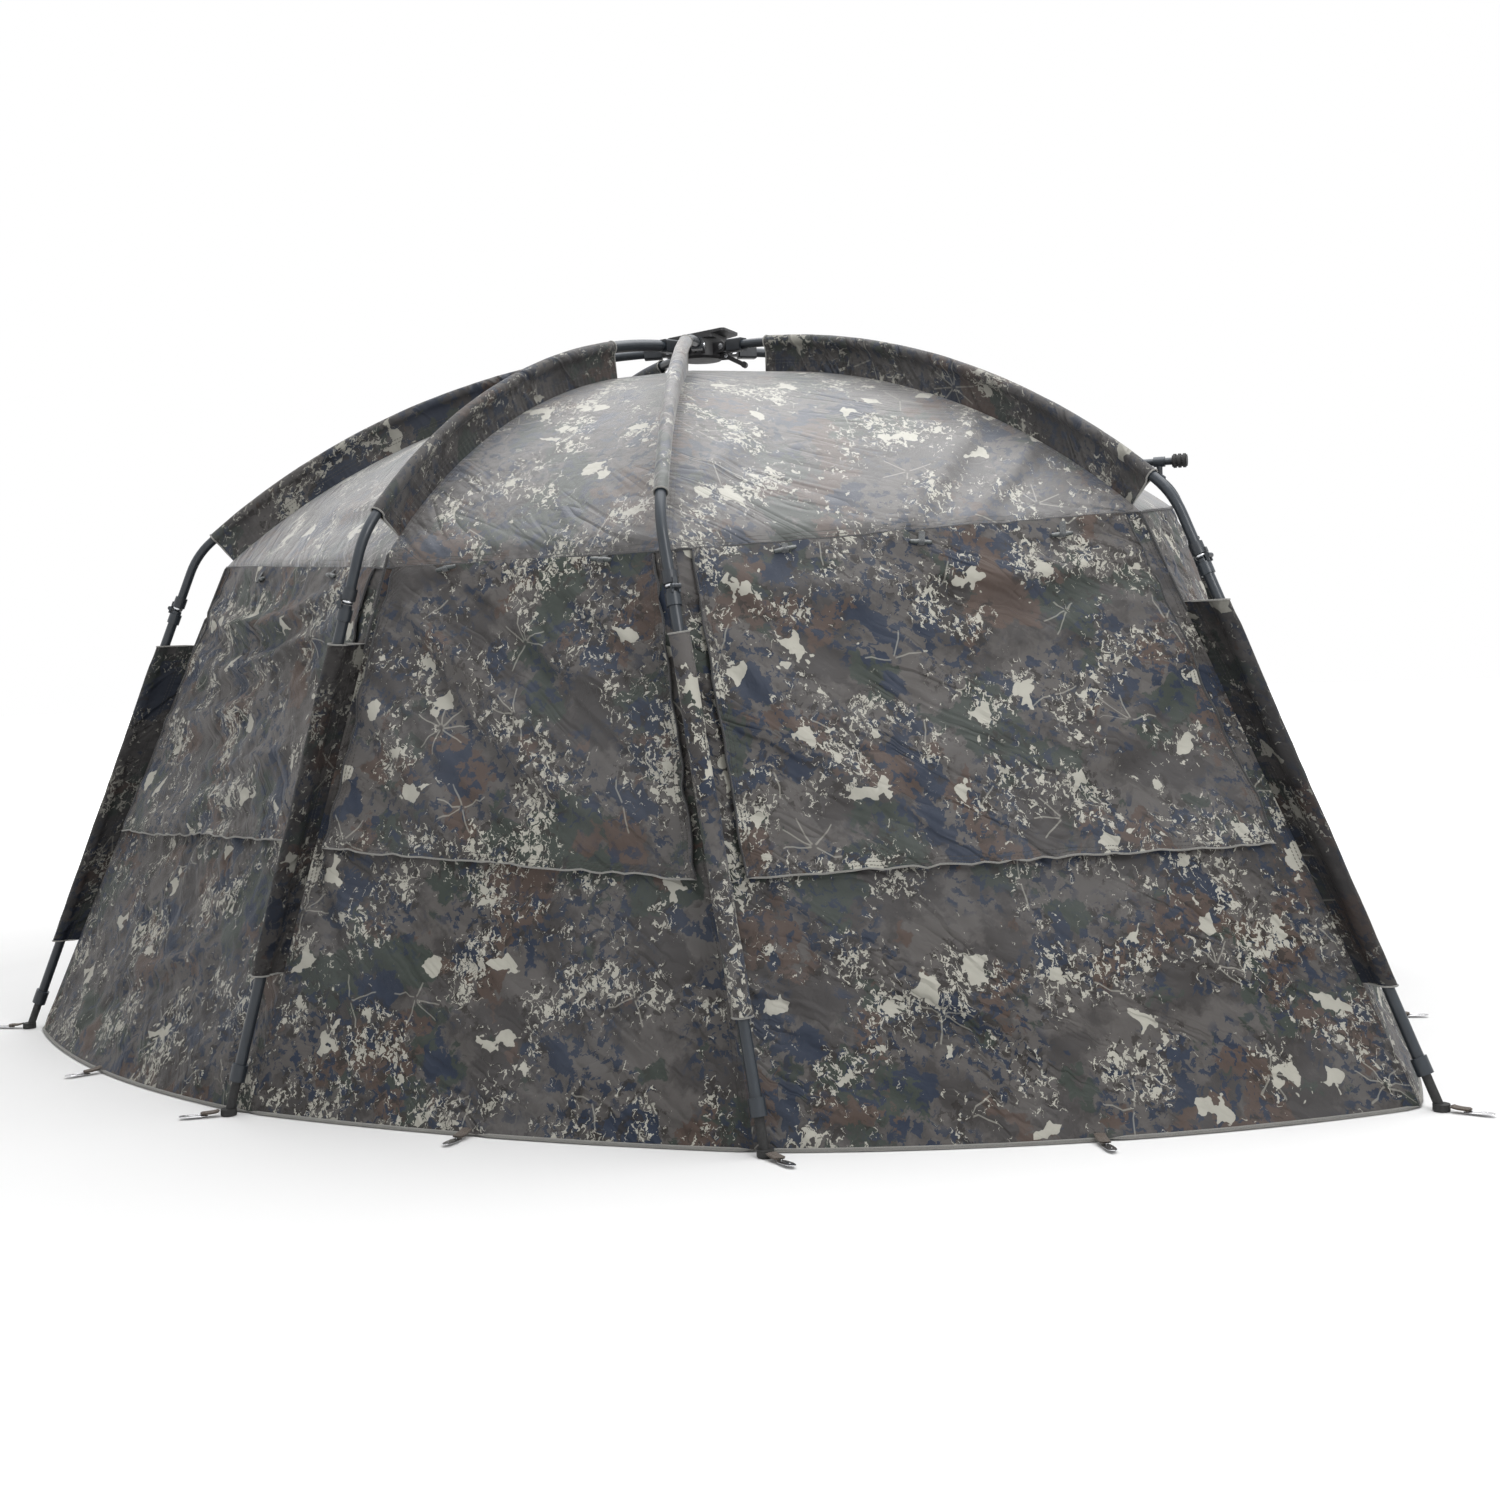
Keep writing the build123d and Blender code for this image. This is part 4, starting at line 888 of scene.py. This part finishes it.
SEAM_DROP = {"rear": 0.030, "side": 0.004, "front": 0.0}
SPLIT = STRIP_ROWS * 2  # row of the split line in a refined wall
HALF = COLUMNS  # middle column of a refined panel
for pair in PANELS:
    first, second = (SEAM_DROP[ribs[name].kind] for name in pair)
    roofs[pair], walls[pair] = lower_seam(roofs[pair], walls[pair], np.linspace(first, second, 2 * COLUMNS + 1))


def panel_maps(points, number):
    """Print coordinates of a panel, in metres of cloth, and distances to its rib edges."""
    widths = lengths(points, 1)
    total = widths[:, -1:]
    y = -lengths(points, 0)
    prints = np.stack([widths - total / 2, y], axis=-1) + PRINT_STEP * number
    trims = np.stack([np.minimum(widths, total - widths), -y], axis=-1)
    return prints, trims


def cloth_area(shape):
    points, faces = np.concatenate(shape.points), np.concatenate(shape.faces)
    a, b, c, d = (points[faces[:, i]] for i in range(4))
    halves = (np.linalg.norm(np.cross(p - a, q - a), axis=1) for p, q in ((b, c), (c, d)))
    return float(sum(halves).sum() / 2)


def declare(piece, shape, width, length, held, rests_on, trims=()):
    round(min(cloth_area(shape), width * length), 4)


def cut_size(grids):
    """Width and length of the cloth that a gore's grids are cut from, side by side."""
    return (sum(float(lengths(g, 1)[:, -1].max()) for g in grids),
            max(float(lengths(g, 0)[-1].max()) for g in grids))


def placed(piece, body, slot, rib=None, towards=None):
    """Puts a piece on its body; a rib's cloth gets a mesh of its own."""
    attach(piece, body)
    if rib is not None:
        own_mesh(piece)


def wall_gore(rib, other, maps, first):
    """The rib's half of one wall below the split line, or the jamb of the doorway."""
    wall, trim = Shape(), Shape()
    if rib.kind == other.kind == "front":
        pair = (rib.name, other.name) if first else (other.name, rib.name)
        widths = lengths(walls[pair], 1)[SPLIT]
        keep = int(((widths if first else widths[-1] - widths) < DOOR_JAMB).sum())
        maps = [values[:, :keep] if first else values[:, -keep:] for values in maps]
        tube(trim, maps[0][:, -1 if first else 0][::2], JAMB_CORD)
    else:
        tube(trim, (maps[0][-1] + UP * 0.0006)[::2], HEM_RADIUS, slot=1)
    wall.grid(*maps)
    name = rib.name + "_of_" + other.name
    piece = wall.build("wall_gore_" + name, wall_cloth)
    binding = trim.build("wall_binding_" + name, piping_cloth, hem_cloth)
    for item in (piece, binding):
        placed(item, "leg_" + rib.name, CLOTH_SLOT, rib, other)
    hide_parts("wall_panel_" + rib.name)
    declare(piece, wall, *cut_size([maps[0]]), "stretched", ["lower_leg_" + rib.name], [binding])


def skin(rib):
    """The rib's share of the roof, with the strip above the split line, and of its two walls."""
    roof, trim, grids = Shape(), Shape(), []
    for number, pair in enumerate(PANELS):
        if rib.name not in pair:
            continue
        first = rib.name == pair[0]
        side = slice(None, HALF + 1) if first else slice(HALF, None)
        points = roofs[pair]
        prints, trims = panel_maps(points, number)
        trims[..., 0] = np.minimum(trims[..., 0], lengths(points[::-1], 0)[::-1])
        maps = [values[:, side] for values in (points, prints, trims, surface_normals(points))]
        roof.grid(*maps)
        tube(trim, (maps[0][-1] + maps[3][-1] * 0.0015)[::2], SEAM_CORD)
        top = maps[0]

        points = walls[pair]
        prints, trims = panel_maps(points, number)
        maps = (points, prints + WALL_PRINT_SHIFT, trims, surface_normals(points))
        maps = [values[:, side] for values in maps]
        roof.grid(*(values[:SPLIT + 1] for values in maps), slot=1)
        grids.append(np.concatenate([top, maps[0][:SPLIT + 1]]))
        wall_gore(rib, ribs[pair[1] if first else pair[0]], [values[SPLIT:] for values in maps], first)

    piece = roof.build("roof_gore_" + rib.name, roof_cloth, wall_cloth)
    binding = trim.build("roof_binding_" + rib.name, piping_cloth, hem_cloth)
    for item in (piece, binding):
        placed(item, "rib_" + rib.name, CLOTH_SLOT, rib)
    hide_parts("roof_panel_" + rib.name)
    declare(piece, roof, *cut_size(grids), "stretched", ["upper_pole_" + rib.name], [binding])


def sleeve(rib, leg):
    """A sleeve sewn round the bow or the leg, with a fin down to the skin."""
    kind = "lower" if leg else "upper"
    if leg:
        heights = np.linspace(*LOWER_SLEEVE[rib.name], 64)
        path, inner = rib.leg(heights), rib.wall(heights)
    else:
        slopes = rib.start_slope + np.linspace(*UPPER_SLEEVE[rib.name], 72) * (rib.end_slope - rib.start_slope)
        path, inner = rib.bow(slopes, 0.0), rib.bow(slopes, SKIN_DEPTH)
    size, play = SLEEVE_SIZES[kind]
    inward = inner - path
    deep = np.linalg.norm(inward, axis=1)
    inward = unit(inward)
    beside = unit(np.cross(unit(np.gradient(path, axis=0)), inward))
    along = lengths(path[None], 1)[0]
    arc = np.radians(np.linspace(-SLEEVE_ARC, SLEEVE_ARC, 25))
    profile = np.zeros((len(path), len(arc) + 8, 2))
    loose = noise_field(along[:, None] + 4, arc[None] * 0.05 + rib.centre[0], 300 + int(leg), 0.05, 2) * play
    profile[:, 4:-4, 0] = np.sin(arc) * (size + loose)
    profile[:, 4:-4, 1] = -np.cos(arc) * (size + loose)
    neck = size * 1.9 / deep.mean()
    for k, mixed in enumerate((0.0, 0.4, 0.75, 0.93)):
        # from the fin's end up to the arc, on both sides
        depth = deep + (profile[:, 4, 1] - deep) * mixed
        spread = np.interp(depth / deep, (0.0, neck, 1.0), (abs(profile[0, 4, 0]), 0.0012, 0.0010))
        profile[:, k, 0], profile[:, k, 1] = -spread, depth
        profile[:, -1 - k, 0], profile[:, -1 - k, 1] = spread, depth
    grid = sweep(path, (beside, inward), profile)
    prints = measured(grid) + np.array((0.17 * (ORDER.index(rib.name) + 1), 0.9 * leg))
    edges = np.minimum(lengths(grid, 1), lengths(grid[:, ::-1], 1)[:, ::-1]) - 0.010
    trims = np.stack([edges, np.broadcast_to(along[:, None], edges.shape)], axis=-1)
    shape, cuffs = Shape(), Shape()
    shape.grid(grid, prints, trims, flip=True)
    lit_rib = rib.name == "rear_right"  # the rib that faces the light
    # the rib that faces the light keeps the plain cloths, with the roof cloth's painted light on its bow; the other
    # ribs' sleeves use the copies darkened as painted shade
    cloth = (wall_cloth if leg else roof_cloth) if lit_rib else (sleeve_cloth_painted_shade if leg else bow_cloth_painted_shade)
    piece = shape.build(kind + "_sleeve_" + rib.name, cloth)
    for row in (0, -1):
        tube(cuffs, grid[row], CUFF_CORD)
    cuff = cuffs.build(kind + "_cuffs_" + rib.name, hem_cloth)
    for item in (piece, cuff):
        placed(item, ("leg_" if leg else "rib_") + rib.name, CLOTH_SLOT)
    declare(piece, shape, float(lengths(grid, 1)[:, -1].mean()) * EASE, along[-1] * EASE, "gathered",
            [("lower_leg_" if leg else "upper_pole_") + rib.name], [cuff])


def tube_of(name, path, sizes, sides, material):
    """A round part along a path, with a size at each point."""
    return Shape().grid(sweep(path, path_axes(path), ring(sides)[None] * sizes[:, None, None]),
                        wrap=True, flip=True).build(name, material)


for rib in ribs.values():
    skin(rib)
    for leg in (False, True):
        sleeve(rib, leg)

    # dark piping down the skin's edge behind the bare bend, and the bright ring at the ferrule
    split = float(walls[PANELS[-1]][SPLIT, -1 if rib.name == "rear_left" else 0, 2])
    for label, body, ends in (("edge_piping_", "rib_", (rib.seam[2], split)),
                              ("low_edge_piping_", "leg_", (split, LOWER_SLEEVE[rib.name][0] - 0.02))):
        piping = Shape()
        tube(piping, rib.wall(np.linspace(*ends, 14)), EDGE_CORD)
        placed(piping.build(label + rib.name, piping_cloth), body + rib.name, CLOTH_SLOT)
    path = rib.bend + rib.down * RING_DROP + rib.down * RING_STEPS[:, None]
    placed(tube_of("ferrule_ring_" + rib.name, path, RING_SIZES, 40, steel), "rib_" + rib.name, "pin_steel")

# ---------------- crown, window flaps, toggles and pegs

rib = ribs["rear_left"]
shares = np.linspace(0.038, UPPER_SLEEVE["rear_left"][0] + 0.012, 40)
sizes = np.full(len(shares), BARREL_RADIUS)
sizes[:3] = (0.0100, 0.0118, BARREL_RADIUS)
sizes[-3:] = sizes[:3][::-1]
path = rib.bow(rib.start_slope + shares * (rib.end_slope - rib.start_slope), 0.0)
placed(tube_of("bow_barrel_rear_left", path, sizes, 32, pole_paint), "rib_rear_left", "pole")

crown_low, crown_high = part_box("roof_crown")
rows = ring(48)[None] * np.linspace(0.15, 1.0, 8)[:, None, None] * CROWN_RADIUS
level = np.full(rows.shape[:2] + (1,), (crown_low.z + crown_high.z) / 2)
crown = Shape().grid(np.concatenate([rows, level], axis=-1), prints=rows + 0.5, wrap=True)
crown_piece = crown.build("crown_patch", roof_cloth)
placed(crown_piece, "hub", CLOTH_SLOT)
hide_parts("roof_crown")
declare(crown_piece, crown, CROWN_CUT, CROWN_CUT, "stretched", ["hub_block"])


def flap_sheet(pair, number):
    """A storm flap: the wall's surface lifted off it. Grids of points, prints, trims and normals, and its middle."""
    points = walls[pair]
    normals = surface_normals(points)
    start, bare, *corners = FLAPS[pair]
    stop = points.shape[1] - bare
    last = int(np.abs(points[:, HALF, 2] - FLAP_BOTTOM).argmin())
    sheet, lean = points[:last + 1, start:stop].copy(), normals[:last + 1, start:stop].copy()
    every = np.arange(len(points))
    for column, low in zip(range(start, stop), np.linspace(*corners, stop - start)):
        bottom = np.interp(-low, -points[:, column, 2], every)
        rows = SPLIT + np.linspace(0, bottom - SPLIT, last + 1 - SPLIT)
        for axis in range(3):
            for grid, values in ((sheet, points), (lean, normals)):
                grid[SPLIT:, column - start, axis] = np.interp(rows, every, values[:, column, axis])
    drop = np.linspace(0, 1, last + 1)[:, None]
    belly = np.sin(np.pi * np.linspace(0, 1, stop - start)[None])
    x, y = lengths(sheet, 1), lengths(sheet, 0)
    lift = 0.004 + 0.007 * drop ** 0.5
    lift = lift + drop ** 1.5 * 0.010 * (0.5 + 0.5 * noise_field(x + 1, y * 0.3, 500 + number, 0.16, 2)) * belly
    sheet = folds(sheet + lean * lift[..., None], lean, FLAP_FOLDS[pair], 700 + number, 0.0012)
    prints = panel_maps(sheet, number)[0] + FLAP_PRINT_SHIFT
    edge = np.minimum(np.minimum(x, x[:, -1:] - x), lengths(sheet[::-1], 0)[::-1])
    return sheet, prints, np.stack([edge, y + x], axis=-1), surface_normals(sheet), HALF - start


for pair in FLAPS:
    *maps, centre = flap_sheet(pair, PANELS.index(pair))
    for first in (True, False):
        rib, other = (ribs[name] for name in (pair if first else pair[::-1]))
        side = slice(0, centre + 1) if first else slice(centre, None)
        name = rib.name + "_of_" + other.name
        for upper in (True, False):
            cut = [values[slice(0, SPLIT + 1) if upper else slice(SPLIT, None), side] for values in maps]
            flap, binding = Shape().grid(*cut), Shape()
            label = "flap_head_" if upper else "window_flap_"
            piece = flap.build(label + name, flap_cloth)
            tube(binding, cut[0][:, 0 if first else -1], FLAP_CORD)
            if not upper:
                tube(binding, cut[0][-1], FLAP_HEM, slot=1)
            trim = binding.build(label + "binding_" + name, piping_cloth, hem_cloth)
            for item in (piece, trim):
                placed(item, ("rib_" if upper else "leg_") + rib.name, CLOTH_SLOT, rib, None if upper else other)
            if not upper:
                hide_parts("window_flaps_" + rib.name)
            width, length = cut_size(cut[:1])
            declare(piece, flap, width * EASE, length * EASE, "hung", ["wall_gore_" + name], [trim])


def toggle(bars, tabs, middle, seam_point, away, along, tilt):
    """A waisted bar beside the seam, and the tape from the seam round its middle and back."""
    lie = along * math.cos(tilt) + UP * math.sin(tilt)
    steps = np.concatenate([BAR_STEPS, -BAR_STEPS[::-1]])
    tube(bars, middle + lie * (steps * BAR_HALF_LENGTH)[:, None], np.concatenate([BAR_SIZES, BAR_SIZES[::-1]]), 20)
    share = np.linspace(0, 1, 9)[:, None]
    front = seam_point + away * 0.002 + (middle - seam_point + away * 0.0035) * share
    arc = np.linspace(0, math.pi, 7)[:, None]
    rounded = middle + away * (TAPE_BEND * np.cos(arc)) - UP * (TAPE_BEND * np.sin(arc))
    back = middle - away * TAPE_BEND + (seam_point + away * 0.0008 - middle + away * TAPE_BEND) * share
    band(tabs, np.concatenate([front[:-1], rounded, back[1:]]), along, TAB_WIDTH, 0.0014)


toggle_shapes = {name: (Shape(), Shape()) for name in ORDER if "front" not in name}
for pair, shares in TOGGLES.items():
    a, b = ribs[pair[0]], ribs[pair[1]]
    away = outward(a, b)
    for share, tilt in zip(shares, TOGGLE_TILTS):
        middle = a.seam + (b.seam - a.seam) * share + away * TOGGLE_LIFT - UP * TOGGLE_DROP
        seam_point = roofs[pair][-1, int(round(share * 2 * COLUMNS))]
        toggle(*toggle_shapes[pair[share >= 0.5]], middle, seam_point, away, unit(b.seam - a.seam), tilt)
for name, (bars, tabs) in toggle_shapes.items():
    bar_piece = bars.build("toggle_bars_" + name, toggle_grey)
    placed(bar_piece, "rib_" + name, "moulding", ribs[name])
    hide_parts("toggles_" + name)
    placed(tabs.build("toggle_tabs_" + name, tab_tape), "rib_" + name, CLOTH_SLOT, ribs[name])


def peg(kind, place, rib, start, root, direction, other=None):
    """A leaf-shaped plated head on the ground, and the webbing loop that holds it to the hem or foot."""
    heads, loops = Shape(), Shape()
    direction = unit(direction * np.array((1.0, 1.0, 0.0)))
    side = np.cross(UP, direction)
    head = start + direction * PEG_REACH + UP * 0.0042
    up = unit(UP - direction * PEG_TILT)
    pebble(heads, head, (unit(direction + UP * PEG_TILT), side, up), PEG_HEAD, 0.8)
    pebble(heads, head + up * 0.0014, (direction, side, up), PEG_RIDGE, 0.9)
    for along in (-PEG_STUD_REACH, PEG_STUD_REACH):
        pebble(heads, head + direction * along + up * 0.0022, (direction, side, up), PEG_STUD)
    t = np.linspace(0, 1, 14)[:, None]
    far = start + direction * (PEG_REACH - PEG_STUD_REACH) + UP * 0.0062
    path = root * (1 - t) ** 2 + 2 * t * (1 - t) * (start + UP * 0.005) + far * t ** 2
    path = path + UP * 0.0010
    band(loops, path, side, LOOP_WIDTH, 0.0017)
    band(loops, path[2:] + UP * 0.0019, side, LOOP_WIDTH, 0.0015)
    bound = () if other is None else (rib, other)
    head_piece = heads.build(kind + rib.name + place, peg_steel)
    placed(head_piece, "leg_" + rib.name, "peg", *bound)
    if other is None:
        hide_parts("ground_pegs_" + rib.name)
    placed(loops.build(kind + "loop_" + rib.name + place, tape), "leg_" + rib.name, CLOTH_SLOT, *bound)


for rib in ribs.values():
    root = rib.foot + rib.leg_out * LOOP_ROOT + LOOP_RISE
    peg("peg_", "", rib, rib.foot + rib.leg_out * PEG_SPREAD, root, rib.leg_out)

for pair, owner in HEM_PEGS.items():
    rib, other = (ribs[name] for name in (pair if owner == pair[0] else pair[::-1]))
    away = outward(rib, other)
    hem = walls[pair][-1, HALF] * np.array((1.0, 1.0, 0.0)) - unit(other.foot - rib.foot) * PEG_SHIFT
    peg("hem_peg_", "_of_" + other.name, rib, hem + away * PEG_HEM_GAP, hem + away * 0.001 + UP * 0.014, away, other)

# ---------------- floor and light

g = Graph("pale_floor", roughness=0.75)
where = g.node("ShaderNodeTexCoord").outputs["Object"]
g.set("Base Color", g.mix(g.noise(where, 2.0, 4.0, flat=False), (0.90, 0.90, 0.90), (0.93, 0.93, 0.93)))
g.shader.inputs["Emission Color"].default_value = (1.0, 1.0, 1.0, 1.0)
g.set("Emission Strength", g.ramp(g.vector("LENGTH", where), 2.2, 6.0, 0.0, 1.0))
floor_mesh = bpy.data.meshes.new("floor")
corners = [(x, y, -0.0005) for x, y in ((-30, -30), (30, -30), (30, 30), (-30, 30))]
floor_mesh.from_pydata(corners, [], [(0, 1, 2, 3)])
floor_mesh.materials.append(g.material)
linked("floor", floor_mesh)


def softbox(name, place, target, size, watts):
    light = bpy.data.lights.new(name, "AREA")
    light.shape = "RECTANGLE"
    light.size, light.size_y = size
    light.energy = watts
    back = unit(np.array(place, float) - np.array(target, float))
    side = unit(np.cross(UP if abs(back[2]) < 0.95 else np.array((0.0, 1.0, 0.0)), back))
    rise = np.cross(back, side)
    turned = Matrix(np.stack([side, rise, back], axis=1).tolist()).to_4x4()
    linked(name, light).matrix_world = Matrix.Translation(place) @ turned


softbox("top", (0.3, 0.2, 4.6), (0, 0, 0.6), (5.0, 5.0), 230.0)
softbox("key", (3.9, -2.9, 3.4), (0, 0, 0.8), (1.8, 1.8), 70.0)
softbox("fill", (-4.2, -3.2, 2.2), (0, 0, 0.7), (3.0, 2.4), 2.0)

world = bpy.data.worlds.new("studio")
world.use_nodes = True
background = world.node_tree.nodes["Background"]
background.inputs[0].default_value = (1.0, 1.0, 1.0, 1.0)
rays = world.node_tree.nodes.new("ShaderNodeLightPath")
dimmer = world.node_tree.nodes.new("ShaderNodeMapRange")
world.node_tree.links.new(rays.outputs["Is Diffuse Ray"], dimmer.inputs[0])
dimmer.inputs["To Min"].default_value = 1.0
dimmer.inputs["To Max"].default_value = 0.38
world.node_tree.links.new(dimmer.outputs[0], background.inputs[1])
scene.world = world
scene.view_settings.view_transform = "Standard"
